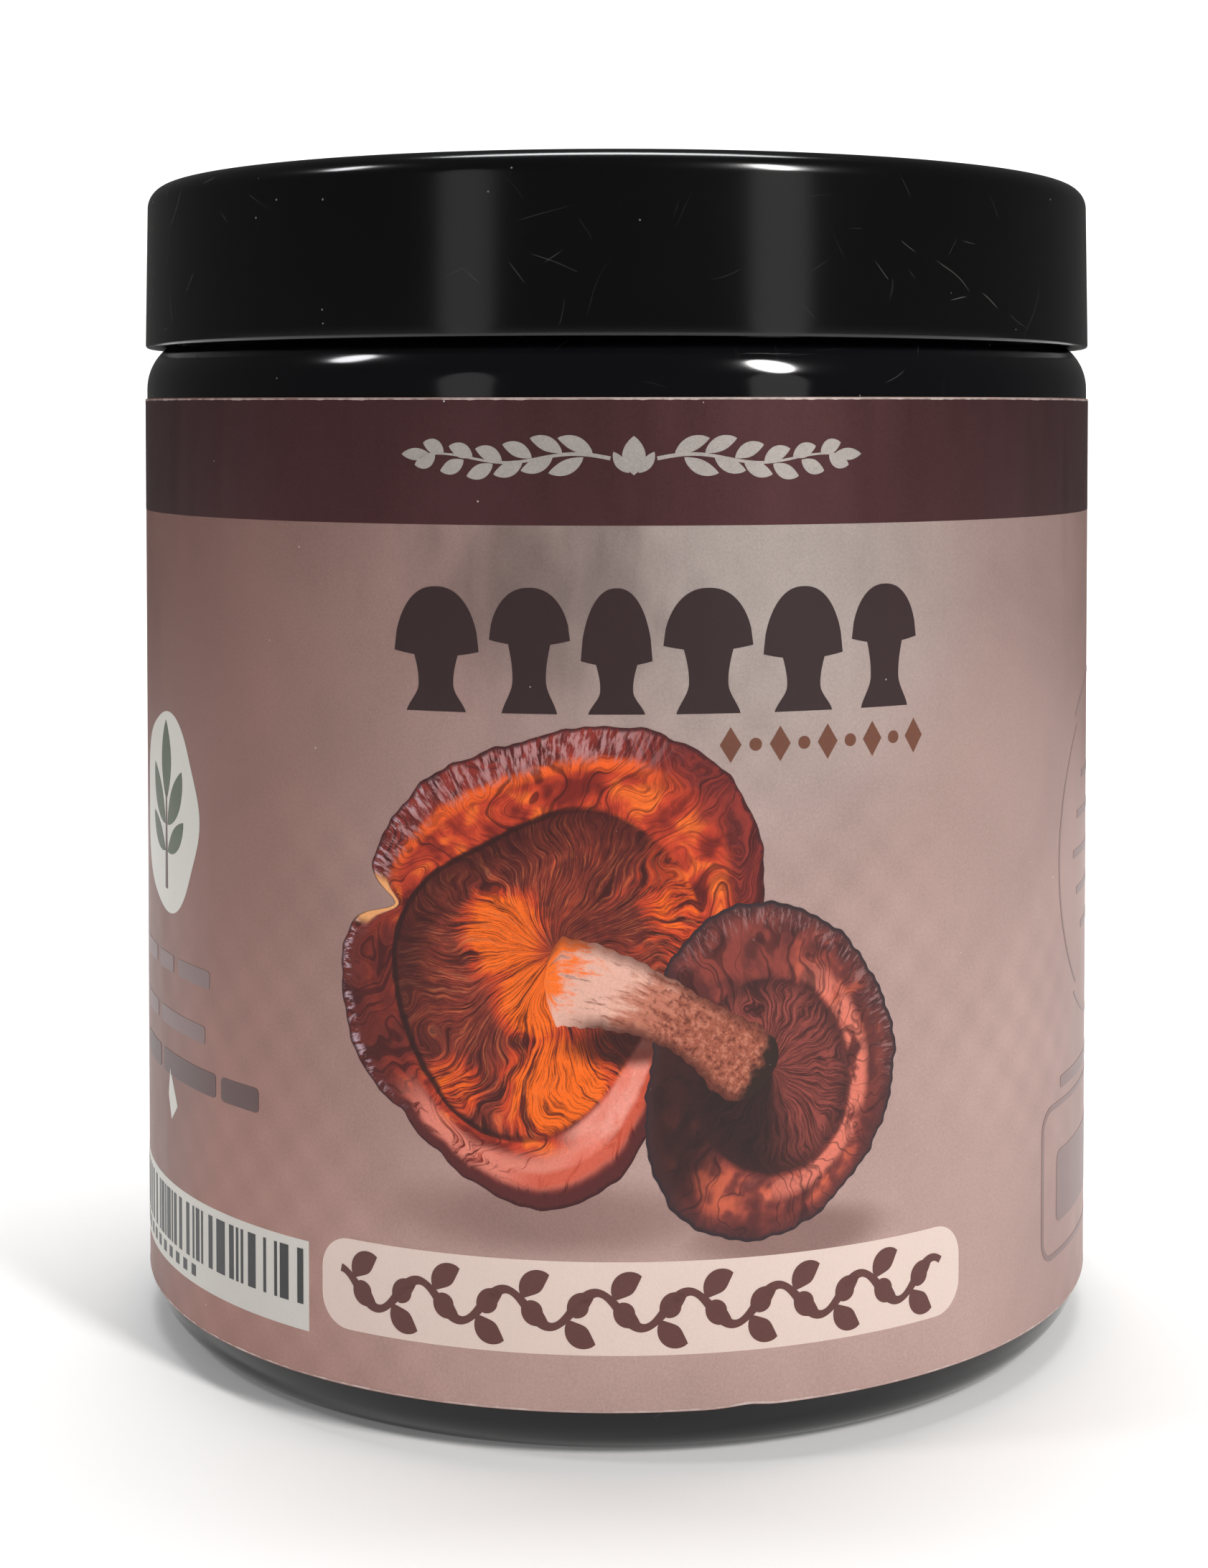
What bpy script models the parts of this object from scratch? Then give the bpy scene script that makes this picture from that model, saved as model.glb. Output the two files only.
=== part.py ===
"""Screw-lid powder jar: a straight-sided round jar with a one-start threaded neck, a smooth
screw lid with a loose foam liner in it, and a film label wrapped round the body.

The jar's axis is Z and its standing ring is on Z = 0. Everything is in metres. The lid is
modelled screwed down; turned anticlockwise, seen from above, it rises one THREAD_PITCH a turn.
"""

from math import acos, cos, degrees, radians, sin, sqrt, tau

import bmesh
import bpy

MM = 0.001

# Driving dimensions
LABEL_RADIUS = 36.3 * MM  # outside of the label, the widest part of the object
HEIGHT = 85.07 * MM  # from the standing ring to the top of the lid
THREAD_PITCH = 25.4 / 6 * MM  # six turns an inch, right-hand
STEPS = 64  # flats round every turned piece
STEP_ANGLE = tau / STEPS

# Label: a band of film, with one flat of the round left open at the back for its seam
LABEL_THICKNESS = 0.15 * MM
LABEL_GAP = 0.05 * MM
LABEL_BOTTOM = 3.5 * MM
LABEL_TOP = 69.2 * MM
LABEL_SEAM_ANGLE = radians(90)

# Jar body, shoulder and heel
BODY_RADIUS = LABEL_RADIUS - LABEL_THICKNESS - LABEL_GAP
WALL = 1.5 * MM
SHOULDER_START = 69.9 * MM
SHOULDER_RADIUS = 4.0 * MM
HEEL_WIDTH = 3.6 * MM
HEEL_HEIGHT = 4.6 * MM
INSIDE_HEEL = 3.8 * MM

# Base: a standing ring round a pushed-up middle
RING_INNER_RADIUS = 29.0 * MM
PUSH_UP_RADIUS = 26.0 * MM
PUSH_UP_HEIGHT = 2.2 * MM
PUSH_UP_CROWN = 0.4 * MM
BASE_THICKNESS = 1.7 * MM

# Neck and its mouth
NECK_RADIUS = 33.6 * MM
BORE_RADIUS = 31.6 * MM
RIM_ROUND = 0.4 * MM

# Lid
LID_BOTTOM = 72.98 * MM
LID_BOTTOM_RADIUS = 36.19 * MM
LID_TOP_RADIUS = 36.0 * MM
LID_CORNER = 1.6 * MM
LID_PLATE = 1.5 * MM
LID_BORE_RADIUS = 35.1 * MM
LID_EDGE_ROUND = 0.25 * MM
LID_INSIDE_FILLET = 0.3 * MM

# Liner, a loose disc between the lid's plate and the jar's rim
LINER_RADIUS = 34.6 * MM
LINER_THICKNESS = 0.9 * MM
LINER_GAP = 0.05 * MM

# Threads: ridges with sloping sides, full height but for a run-out at both ends
NECK_THREAD_HEIGHT = 1.1 * MM
NECK_THREAD_ROOT = 1.0 * MM  # half the ridge's width where it meets the wall
NECK_THREAD_CREST = 0.45 * MM  # half its width at the crest
NECK_THREAD_START = 75.2 * MM
NECK_THREAD_STEPS = 74
LID_THREAD_HEIGHT = 1.05 * MM
LID_THREAD_ROOT = 0.8 * MM
LID_THREAD_CREST = 0.35 * MM
LID_THREAD_DROP = 1.45 * MM  # how far it lies under the neck's thread, with running clearance
LID_THREAD_FIRST_STEP = 8
LID_THREAD_STEPS = 64
RUN_OUT_STEPS = 4
THREAD_BURY = 0.35 * MM  # how deep each ridge is set into its wall

# Heights that follow from those above
LID_UNDERSIDE = HEIGHT - LID_PLATE
LINER_TOP = LID_UNDERSIDE - LINER_GAP
LINER_BOTTOM = LINER_TOP - LINER_THICKNESS
RIM_HEIGHT = LINER_BOTTOM - LINER_GAP
LID_THREAD_START = NECK_THREAD_START - LID_THREAD_DROP


def clear_scene():
    for old in list(bpy.data.objects):
        bpy.data.objects.remove(old, do_unlink=True)


def make_collection(name, hide_render=False):
    made = bpy.data.collections.new(name)
    made.hide_render = hide_render
    bpy.context.scene.collection.children.link(made)
    return made


def make_material(name, colour, roughness):
    made = bpy.data.materials.new(name)
    made.use_nodes = True
    shader = made.node_tree.nodes["Principled BSDF"]
    shader.inputs["Base Color"].default_value = (*colour, 1.0)
    shader.inputs["Roughness"].default_value = roughness
    shader.inputs["Metallic"].default_value = 0.0
    return made


def add_object(name, mesh, collection, material=None):
    made = bpy.data.objects.new(name, mesh)
    collection.objects.link(made)
    if material:
        mesh.materials.append(material)
    return made


def arc(centre, radii, start, end, count):
    """count + 1 points along an ellipse's arc in the (radius, height) plane, angles in degrees."""
    angles = [radians(start + (end - start) * i / count) for i in range(count + 1)]
    return [(centre[0] + radii[0] * cos(a), centre[1] + radii[1] * sin(a)) for a in angles]


def shoulder_arc(round_radius, inner_radius, count):
    """The shoulder's quarter round, from the wall up and in to inner_radius."""
    centre_radius = BODY_RADIUS - SHOULDER_RADIUS
    end = degrees(acos((inner_radius - centre_radius) / round_radius))
    return arc((centre_radius, SHOULDER_START), (round_radius, round_radius), 0, end, count)


def turned(name, profile, collection, material, angle=tau, steps=STEPS):
    """A profile of (radius, height) points turned about Z. Its outer side runs top to bottom."""
    mesh = bpy.data.meshes.new(name)
    edges = [(i, i + 1) for i in range(len(profile) - 1)]
    mesh.from_pydata([(r, 0.0, z) for r, z in profile], edges, [])
    made = add_object(name, mesh, collection, material)
    screw = made.modifiers.new("turn", "SCREW")
    screw.axis = "Z"
    screw.angle = angle
    screw.steps = steps
    screw.render_steps = steps
    screw.use_smooth_shade = True
    screw.use_merge_vertices = True
    screw.merge_threshold = 0.01 * MM
    return made


def jar_profile():
    """From the floor's centre up the inside, over the rim and down the outside to the base."""
    inside_radius = BODY_RADIUS - WALL
    floor = PUSH_UP_HEIGHT + BASE_THICKNESS
    inside = [
        (0.0, floor + PUSH_UP_CROWN),
        (0.6 * PUSH_UP_RADIUS, floor + 0.6 * PUSH_UP_CROWN),
        (PUSH_UP_RADIUS - 0.8 * MM, floor),
        (RING_INNER_RADIUS - 0.8 * MM, BASE_THICKNESS),
    ]
    heel_centre = (inside_radius - INSIDE_HEEL, BASE_THICKNESS + INSIDE_HEEL)
    inside += arc(heel_centre, (INSIDE_HEEL, INSIDE_HEEL), -90, 0, 5)
    inside += shoulder_arc(SHOULDER_RADIUS - WALL, BORE_RADIUS, 4)
    rim_radii = (RIM_ROUND, RIM_ROUND)
    rim = arc((BORE_RADIUS + RIM_ROUND, RIM_HEIGHT - RIM_ROUND), rim_radii, 180, 90, 2)
    rim += arc((NECK_RADIUS - RIM_ROUND, RIM_HEIGHT - RIM_ROUND), rim_radii, 90, 0, 2)
    shoulder = shoulder_arc(SHOULDER_RADIUS, NECK_RADIUS, 7)[::-1]
    heel = arc((BODY_RADIUS - HEEL_WIDTH, HEEL_HEIGHT), (HEEL_WIDTH, HEEL_HEIGHT), 0, -90, 7)
    base = [
        (RING_INNER_RADIUS, 0.0),
        (PUSH_UP_RADIUS, PUSH_UP_HEIGHT),
        (0.6 * PUSH_UP_RADIUS, PUSH_UP_HEIGHT + 0.6 * PUSH_UP_CROWN),
        (0.0, PUSH_UP_HEIGHT + PUSH_UP_CROWN),
    ]
    return inside + rim + shoulder + heel + base


def lid_profile():
    """From the plate's top centre down the skirt, round its edge and up the inside."""
    corner_centre = (LID_TOP_RADIUS - LID_CORNER, HEIGHT - LID_CORNER)
    edge_radii = (LID_EDGE_ROUND, LID_EDGE_ROUND)
    outer_edge = (LID_BOTTOM_RADIUS - LID_EDGE_ROUND, LID_BOTTOM + LID_EDGE_ROUND)
    inner_edge = (LID_BORE_RADIUS + LID_EDGE_ROUND, LID_BOTTOM + LID_EDGE_ROUND)
    fillet_centre = (LID_BORE_RADIUS - LID_INSIDE_FILLET, LID_UNDERSIDE - LID_INSIDE_FILLET)
    profile = [(0.0, HEIGHT)]
    profile += arc(corner_centre, (LID_CORNER, LID_CORNER), 90, 0, 6)
    profile += arc(outer_edge, edge_radii, 0, -90, 2)
    profile += arc(inner_edge, edge_radii, -90, -180, 2)
    profile += arc(fillet_centre, (LID_INSIDE_FILLET, LID_INSIDE_FILLET), 0, 90, 2)
    profile.append((0.0, LID_UNDERSIDE))
    return profile


def thread_mesh(name, wall_radius, height, half_widths, start, first_step, steps):
    """A helical ridge: four-cornered sections lofted along the helix, capped at both ends.

    height is positive where the ridge stands out from a neck and negative where it stands
    in from a lid. The crest sinks into the wall over RUN_OUT_STEPS at each end. Its sections
    stand midway between the wall's edges, so that the two meshes cross cleanly.
    """
    outward = 1 if height > 0 else -1
    root = wall_radius - outward * THREAD_BURY
    sunk = wall_radius - outward * 0.5 * THREAD_BURY
    bm = bmesh.new()
    rings = []
    for step in range(first_step, first_step + steps + 1):
        from_end = min(step - first_step, first_step + steps - step)
        share = min(1.0, from_end / RUN_OUT_STEPS)
        crest = sunk + (wall_radius + height - sunk) * share
        angle = (step + 0.5) * STEP_ANGLE
        middle = start + THREAD_PITCH * angle / tau
        corners = [
            (root, middle - half_widths[0]),
            (crest, middle - half_widths[1]),
            (crest, middle + half_widths[1]),
            (root, middle + half_widths[0]),
        ]
        rings.append([bm.verts.new((r * cos(angle), r * sin(angle), z)) for r, z in corners])
    for ring, following in zip(rings, rings[1:]):
        for i in range(4):
            j = (i + 1) % 4
            bm.faces.new((ring[i], following[i], following[j], ring[j]))
    bm.faces.new(rings[0])
    bm.faces.new(rings[-1][::-1])
    bmesh.ops.recalc_face_normals(bm, faces=bm.faces)
    mesh = bpy.data.meshes.new(name)
    bm.to_mesh(mesh)
    bm.free()
    return mesh


def join_thread(piece, mesh, collection):
    """Unites a ridge with the wall that carries it."""
    ridge = add_object(mesh.name, mesh, collection)
    ridge.display_type = "WIRE"
    ridge.hide_render = True
    union = piece.modifiers.new("thread", "BOOLEAN")
    union.operation = "UNION"
    union.solver = "EXACT"
    union.object = ridge


def build_jar(collection, helpers):
    plastic = make_material("black PET", (0.012, 0.012, 0.014), 0.12)
    jar = turned("jar", jar_profile(), collection, plastic)
    half_widths = (NECK_THREAD_ROOT, NECK_THREAD_CREST)
    mesh = thread_mesh(
        "neck_thread", NECK_RADIUS, NECK_THREAD_HEIGHT, half_widths,
        NECK_THREAD_START, 0, NECK_THREAD_STEPS,
    )
    join_thread(jar, mesh, helpers)
    return jar


def build_lid(collection, helpers):
    plastic = make_material("black lid plastic", (0.010, 0.010, 0.011), 0.16)
    lid = turned("screw_lid", lid_profile(), collection, plastic)
    half_widths = (LID_THREAD_ROOT, LID_THREAD_CREST)
    mesh = thread_mesh(
        "lid_thread", LID_BORE_RADIUS, -LID_THREAD_HEIGHT, half_widths,
        LID_THREAD_START, LID_THREAD_FIRST_STEP, LID_THREAD_STEPS,
    )
    join_thread(lid, mesh, helpers)
    return lid


def build_liner(collection):
    foam = make_material("white foam", (0.85, 0.84, 0.81), 0.6)
    profile = [
        (0.0, LINER_TOP),
        (LINER_RADIUS, LINER_TOP),
        (LINER_RADIUS, LINER_BOTTOM),
        (0.0, LINER_BOTTOM),
    ]
    return turned("liner", profile, collection, foam)


def build_label(collection):
    film = make_material("rose film", (0.42, 0.25, 0.21), 0.35)
    profile = [(LABEL_RADIUS, LABEL_TOP), (LABEL_RADIUS, LABEL_BOTTOM)]
    sweep = tau - STEP_ANGLE
    label = turned("wrap_label", profile, collection, film, angle=sweep, steps=STEPS - 1)
    label.rotation_euler.z = LABEL_SEAM_ANGLE + STEP_ANGLE
    wall = label.modifiers.new("film", "SOLIDIFY")
    wall.thickness = LABEL_THICKNESS
    wall.offset = -1
    wall.use_even_offset = True
    return label


def main():
    clear_scene()
    parts = make_collection("screw_lid_powder_jar")
    helpers = make_collection("cutters", hide_render=True)
    root = bpy.data.objects.new("powder_jar", None)
    lid_axis = bpy.data.objects.new("lid_axis", None)
    parts.objects.link(root)
    parts.objects.link(lid_axis)
    lid_axis.parent = root
    build_jar(parts, helpers).parent = root
    build_label(parts).parent = root
    build_liner(parts).parent = lid_axis
    build_lid(parts, helpers).parent = lid_axis


main()
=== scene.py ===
"""Finish and fine surfaces of a screw-lid powder jar: a glossy black jar and lid, a foam liner,
and a rose-silver film label whose printed shapes are thin layers of ink lying on the film.

Everything is in metres, +Z up, with the standing ring on Z = 0 and the jar's axis on Z. On the
label, a place is (s, z): s is the length round the film from the front, -Y, positive to the
viewer's right, and z is the height. Plain numbers on the label are in millimetres, and MM turns
them into metres.
"""

import functools
import math

import bmesh
import bpy
import numpy as np
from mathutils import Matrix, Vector


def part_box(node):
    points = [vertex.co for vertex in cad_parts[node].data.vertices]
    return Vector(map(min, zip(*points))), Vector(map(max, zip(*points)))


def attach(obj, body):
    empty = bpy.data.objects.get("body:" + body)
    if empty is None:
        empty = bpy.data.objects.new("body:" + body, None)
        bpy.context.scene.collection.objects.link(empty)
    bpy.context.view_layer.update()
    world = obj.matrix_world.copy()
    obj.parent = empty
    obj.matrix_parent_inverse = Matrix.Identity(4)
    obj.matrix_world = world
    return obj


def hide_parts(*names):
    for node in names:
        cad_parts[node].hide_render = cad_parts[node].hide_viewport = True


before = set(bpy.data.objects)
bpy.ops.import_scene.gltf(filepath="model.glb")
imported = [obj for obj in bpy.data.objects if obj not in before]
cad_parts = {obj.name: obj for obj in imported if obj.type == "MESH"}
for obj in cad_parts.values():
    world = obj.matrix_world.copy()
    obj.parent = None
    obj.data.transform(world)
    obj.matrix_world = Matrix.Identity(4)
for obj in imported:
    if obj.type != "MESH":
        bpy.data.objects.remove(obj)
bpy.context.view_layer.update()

MM = 0.001
TAU = math.tau

# Places that the frame gives
FILM_LOW, FILM_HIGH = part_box("wrap_label")
LID_LOW, LID_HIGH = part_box("screw_lid")
LINER_LOW, LINER_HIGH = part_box("liner")
RIM_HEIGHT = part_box("jar")[1].z
HEIGHT = LID_HIGH.z
OUTER_RADIUS = FILM_HIGH.x

# Jar
BODY_RADIUS = OUTER_RADIUS - 0.2 * MM
WALL = 1.5 * MM
SHOULDER_START = 69.9 * MM
SHOULDER_ROUND = 4.0 * MM
NECK_RADIUS = 33.6 * MM
BORE_RADIUS = 31.6 * MM
RIM_ROUND = 0.4 * MM
HEEL_WIDTH = 3.6 * MM
HEEL_HEIGHT = 4.6 * MM
INSIDE_HEEL = 3.8 * MM
RING_INNER_RADIUS = 29.0 * MM
PUSH_UP_RADIUS = 26.0 * MM
PUSH_UP_HEIGHT = 2.2 * MM
PUSH_UP_CROWN = 0.4 * MM
BASE_THICKNESS = 1.7 * MM

# Lid
LID_TOP_RADIUS = 36.0 * MM
LID_CORNER = 1.6 * MM
LID_PLATE = 1.5 * MM
LID_BORE_RADIUS = 35.1 * MM
LID_EDGE = 0.25 * MM
LID_FILLET = 0.3 * MM

# Threads, one start and right-handed; an angle is in steps of 1/64 turn from +X
PITCH = 25.4 / 6 * MM
THREAD_STEP = TAU / 64
NECK_THREAD = {
    "start": 75.2 * MM, "first": 0.5, "steps": 74,
    "depth": 1.1 * MM, "root": 1.0 * MM, "crest": 0.45 * MM,
}
LID_THREAD = {
    "start": 73.75 * MM, "first": 8.5, "steps": 64,
    "depth": 1.05 * MM, "root": 0.8 * MM, "crest": 0.35 * MM,
}
RUN_OUT_STEPS = 4

# Film and ink
FILM_RADIUS = OUTER_RADIUS - 0.07 * MM
FILM_THICKNESS = 0.08 * MM
INK_SINK = 0.03 * MM  # how far an ink layer's rim is sunk in the film
PLACE_UNIT = 0.1  # metres of label for one unit of the UV map "place"
SEAM_RIGHT = math.pi * OUTER_RADIUS  # the film ends on +Y, and leaves one flat of the CAD round open
SEAM_LEFT = SEAM_RIGHT - (TAU - THREAD_STEP) * OUTER_RADIUS
FILM_LEFT, FILM_RIGHT = SEAM_LEFT / MM, SEAM_RIGHT / MM  # the film's ends in millimetres
BAND_BOTTOM = 60.9  # of the dark band along the label's top
RING_REACH = 0.6  # share of the reach, in the picture maps, at which a mushroom cap's ring lies
LARGE_CAP_CENTRE = (-4.1, 33.5)
SMALL_CAP_CENTRE = (10.2, 25.6)

# How far the layers of ink stand off the film, from the lowest to the highest
BAND_LIFT = 0.012 * MM
GROUND_LIFT = 0.014 * MM
LOW_PRINT_LIFT = 0.018 * MM
INK_LIFT = 0.020 * MM
UPPER_INK_LIFT = 0.028 * MM
SMALL_CAP_LIFT = 0.030 * MM
SPRIG_STEM_LIFT = 0.034 * MM
STEM_LIFT = 0.042 * MM


def srgb(red, green, blue):
    """Linear RGBA of a colour given in 0 to 255 steps of sRGB."""
    steps = np.array([red, green, blue]) / 255
    linear = np.where(steps <= 0.04045, steps / 12.92, ((steps + 0.055) / 1.055) ** 2.4)
    return (*linear.tolist(), 1.0)


def in_scene(name, data):
    """A new object with this data, placed in the scene at the origin."""
    made = bpy.data.objects.new(name, data)
    bpy.context.scene.collection.objects.link(made)
    return made


# ---------------------------------------------------------------- surfaces


def grid_quads(rows, columns, closed_rows=False):
    """Corners of the faces between neighbouring points of a grid numbered row by row."""
    number = np.arange(rows * columns).reshape(rows, columns)
    if closed_rows:
        number = np.vstack([number, number[:1]])
    corners = (number[:-1, :-1], number[:-1, 1:], number[1:, 1:], number[1:, :-1])
    return np.stack(corners, axis=-1).reshape(-1, 4)


def make_piece(name, points, quads, material, body, maps=None, sharp=35):
    """One object from an array of points and one of four-cornered faces.

    maps holds a UV pair for each point, by map name. Points that coincide are then merged,
    which closes seams and poles, and faces left without area are dropped.
    """
    mesh = bpy.data.meshes.new(name)
    mesh.vertices.add(len(points))
    mesh.vertices.foreach_set("co", points.astype(np.float32).ravel())
    mesh.loops.add(quads.size)
    mesh.loops.foreach_set("vertex_index", quads.astype(np.int32).ravel())
    mesh.polygons.add(len(quads))
    mesh.polygons.foreach_set("loop_start", np.arange(0, quads.size, 4, dtype=np.int32))
    mesh.update(calc_edges=True)
    for title, pairs in (maps or {}).items():
        layer = mesh.uv_layers.new(name=title)
        layer.data.foreach_set("uv", pairs[quads.ravel()].astype(np.float32).ravel())
    shape = bmesh.new()
    shape.from_mesh(mesh)
    bmesh.ops.remove_doubles(shape, verts=shape.verts, dist=1e-7)
    flat = [face for face in shape.faces if face.calc_area() < 1e-14]
    bmesh.ops.delete(shape, geom=flat, context="FACES")
    loose = [vertex for vertex in shape.verts if not vertex.link_faces]
    bmesh.ops.delete(shape, geom=loose, context="VERTS")
    shape.to_mesh(mesh)
    shape.free()
    mesh.shade_smooth()
    mesh.set_sharp_from_angle(angle=math.radians(sharp))
    mesh.materials.append(material)
    made = in_scene(name, mesh)
    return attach(made, body)


def around(centre, radii, angle):
    """Points at the given angles about a centre, radii being those across and up."""
    across, up = radii
    return np.stack([centre[0] + across * np.cos(angle), centre[1] + up * np.sin(angle)], axis=-1)


def arc(centre, radii, start, end, count):
    """count + 1 points of an ellipse's arc in the (radius, height) plane, angles in degrees."""
    return around(centre, radii, np.radians(np.linspace(start, end, count + 1)))


def run(start, end, count):
    """count + 1 evenly spaced points of a straight line in the (radius, height) plane."""
    return np.linspace(start, end, count + 1)


def turned(profile, columns, push=None):
    """A (radius, height) profile turned about Z: each point goes round at its own radius.

    push(angle, radius, height) adds to the radius. A profile that runs up on its outer side
    faces outwards. The last column lies on the first, so that merging closes the turn.
    """
    angle = np.linspace(0, TAU, columns + 1)[None, :]
    radius = np.repeat(profile[:, :1], columns + 1, axis=1)
    height = np.repeat(profile[:, 1:], columns + 1, axis=1)
    if push:
        radius = radius + push(angle, radius, height)
    points = np.stack([radius * np.cos(angle), radius * np.sin(angle), height], axis=-1)
    points[:, -1] = points[:, 0]
    return points.reshape(-1, 3), grid_quads(len(profile), columns + 1)


def smooth(share):
    """Smooth step: 0 at 0, 1 at 1, level at both ends."""
    share = np.clip(share, 0, 1)
    return share * share * (3 - 2 * share)


def hill(distance, width):
    """Bell curve: 1 at no distance, falling away over width."""
    return np.exp(-((distance / width) ** 2))


def thread_rise(angle, height, start, first, steps, root, crest, depth):
    """How far a helical ridge stands out here, up to depth.

    The ridge's middle climbs one PITCH a turn. Its height is full within crest of the middle
    and falls to nothing at root, and it runs out over RUN_OUT_STEPS at both ends.
    """
    angle = np.mod(angle, TAU)
    rise = np.zeros(np.broadcast_shapes(angle.shape, height.shape))
    for turn in range(2):
        along = (angle + turn * TAU) / THREAD_STEP
        middle = start + PITCH * (angle / TAU + turn)
        flank = (root - np.abs(height - middle)) / (root - crest)
        ends = np.minimum(along - first, first + steps - along) / RUN_OUT_STEPS
        rise = np.maximum(rise, smooth(flank) * smooth(ends))
    return depth * rise


# ---------------------------------------------------------------- jar, lid and liner


def shoulder(round_radius, inner_radius, count):
    """The shoulder's arc, from the wall up and in to inner_radius."""
    centre = (BODY_RADIUS - SHOULDER_ROUND, SHOULDER_START)
    end = math.degrees(math.acos((inner_radius - centre[0]) / round_radius))
    return arc(centre, (round_radius, round_radius), 0, end, count)


def dish(radius, low, rise, nub):
    """Height of a domed floor: rise at the middle, falling with the square of the radius, with
    a gate nub of the given height under the middle and a shallow ring groove at 0.78 of it."""
    share = radius / PUSH_UP_RADIUS
    dome = low + rise * (1 - share**2)
    groove = 0.12 * MM * hill(radius - 0.78 * PUSH_UP_RADIUS, 0.5 * MM)
    return dome - nub * hill(radius, 0.9 * MM) + groove


def jar_profile():
    """From the base's middle out over the standing ring, up the outside, over the rim, down the
    bore and in across the floor. The slope beside the ring is half a cosine wave."""
    radius = np.linspace(0, PUSH_UP_RADIUS, 36)
    under = np.stack([radius, dish(radius, PUSH_UP_HEIGHT, PUSH_UP_CROWN, 0.5 * MM)], axis=-1)
    share = np.linspace(0, 1, 10)[1:]
    ring = PUSH_UP_RADIUS + (RING_INNER_RADIUS - PUSH_UP_RADIUS) * share
    slope = np.stack([ring, PUSH_UP_HEIGHT * (0.5 + 0.5 * np.cos(math.pi * share))], axis=-1)
    heel = arc((BODY_RADIUS - HEEL_WIDTH, HEEL_HEIGHT), (HEEL_WIDTH, HEEL_HEIGHT), -90, 0, 20)
    side = run((BODY_RADIUS, HEEL_HEIGHT + MM), (BODY_RADIUS, SHOULDER_START - MM), 8)
    outer_shoulder = shoulder(SHOULDER_ROUND, NECK_RADIUS, 14)
    neck = run(outer_shoulder[-1], (NECK_RADIUS, RIM_HEIGHT - RIM_ROUND), 62)[1:]
    rounds = (RIM_ROUND, RIM_ROUND)
    rim = arc((NECK_RADIUS - RIM_ROUND, RIM_HEIGHT - RIM_ROUND), rounds, 0, 90, 5)[1:]
    mouth = arc((BORE_RADIUS + RIM_ROUND, RIM_HEIGHT - RIM_ROUND), rounds, 90, 180, 5)
    inner_shoulder = shoulder(SHOULDER_ROUND - WALL, BORE_RADIUS, 10)[::-1]
    inside = BODY_RADIUS - WALL
    centre = (inside - INSIDE_HEEL, BASE_THICKNESS + INSIDE_HEEL)
    inner_heel = arc(centre, (INSIDE_HEEL, INSIDE_HEEL), 0, -90, 10)
    wall = run(inner_shoulder[-1], inner_heel[0], 6)[1:-1]
    foot = run(inner_heel[-1], (RING_INNER_RADIUS - 0.8 * MM, BASE_THICKNESS), 3)[1:]
    lift = PUSH_UP_HEIGHT + BASE_THICKNESS
    climb = run(foot[-1], (PUSH_UP_RADIUS - 0.8 * MM, lift), 5)[1:-1]
    radius = np.linspace(PUSH_UP_RADIUS - 0.8 * MM, 0, 16)
    floor = np.stack([radius, lift + PUSH_UP_CROWN * (1 - (radius / PUSH_UP_RADIUS) ** 2)], axis=-1)
    return np.concatenate([
        under, slope, heel, side, outer_shoulder, neck, rim, mouth,
        inner_shoulder, wall, inner_heel, foot, climb, floor,
    ])


def build_jar(material):
    """The jar in one closed shell, its neck's thread pushed out of the turned profile."""

    def push(angle, radius, height):
        on_neck = (np.abs(radius - NECK_RADIUS) < 1e-6) & (height > SHOULDER_START)
        return on_neck * thread_rise(angle, height, **NECK_THREAD)

    points, quads = turned(jar_profile(), 352, push)
    jar = make_piece("jar_body", points, quads, material, "jar")
    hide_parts("jar")


def lid_profile():
    """From the middle of the plate's underside out, down the bore, round the edge, up the skirt
    and in across the top, which has a shallow gate dimple and a faint ring near its edge."""
    underside = HEIGHT - LID_PLATE
    ceiling = run((0, underside), (LID_BORE_RADIUS - LID_FILLET, underside), 10)
    fillet = arc(ceiling[-1] - (0, LID_FILLET), (LID_FILLET, LID_FILLET), 90, 0, 4)[1:]
    bottom = LID_LOW.z
    edge = (LID_EDGE, LID_EDGE)
    inner_edge = arc((LID_BORE_RADIUS + LID_EDGE, bottom + LID_EDGE), edge, 180, 270, 5)
    bore = run(fillet[-1], inner_edge[0], 76)[1:-1]
    outer_edge = arc((LID_HIGH.x - LID_EDGE, bottom + LID_EDGE), edge, 270, 360, 6)
    rounds = (LID_CORNER, LID_CORNER)
    corner = arc((LID_TOP_RADIUS - LID_CORNER, HEIGHT - LID_CORNER), rounds, 0, 90, 16)
    skirt = run(outer_edge[-1], corner[0], 14)[1:-1]
    radius = np.linspace(corner[-1][0], 0, 60)[1:]
    dents = 0.12 * MM * hill(radius, 1.3 * MM) + 0.03 * MM * hill(radius - 31.5 * MM, 0.5 * MM)
    top = np.stack([radius, HEIGHT - dents], axis=-1)
    return np.concatenate([ceiling, fillet, bore, inner_edge, outer_edge, skirt, corner, top])


def build_lid(material):
    """The lid in one closed shell, its thread pushed inwards from the bore."""

    def push(angle, radius, height):
        in_bore = (np.abs(radius - LID_BORE_RADIUS) < 1e-6) & (height < HEIGHT - LID_PLATE)
        return -1 * in_bore * thread_rise(angle, height, **LID_THREAD)

    points, quads = turned(lid_profile(), 352, push)
    lid = make_piece("moulded_lid", points, quads, material, "lid")
    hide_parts("screw_lid")


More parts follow.
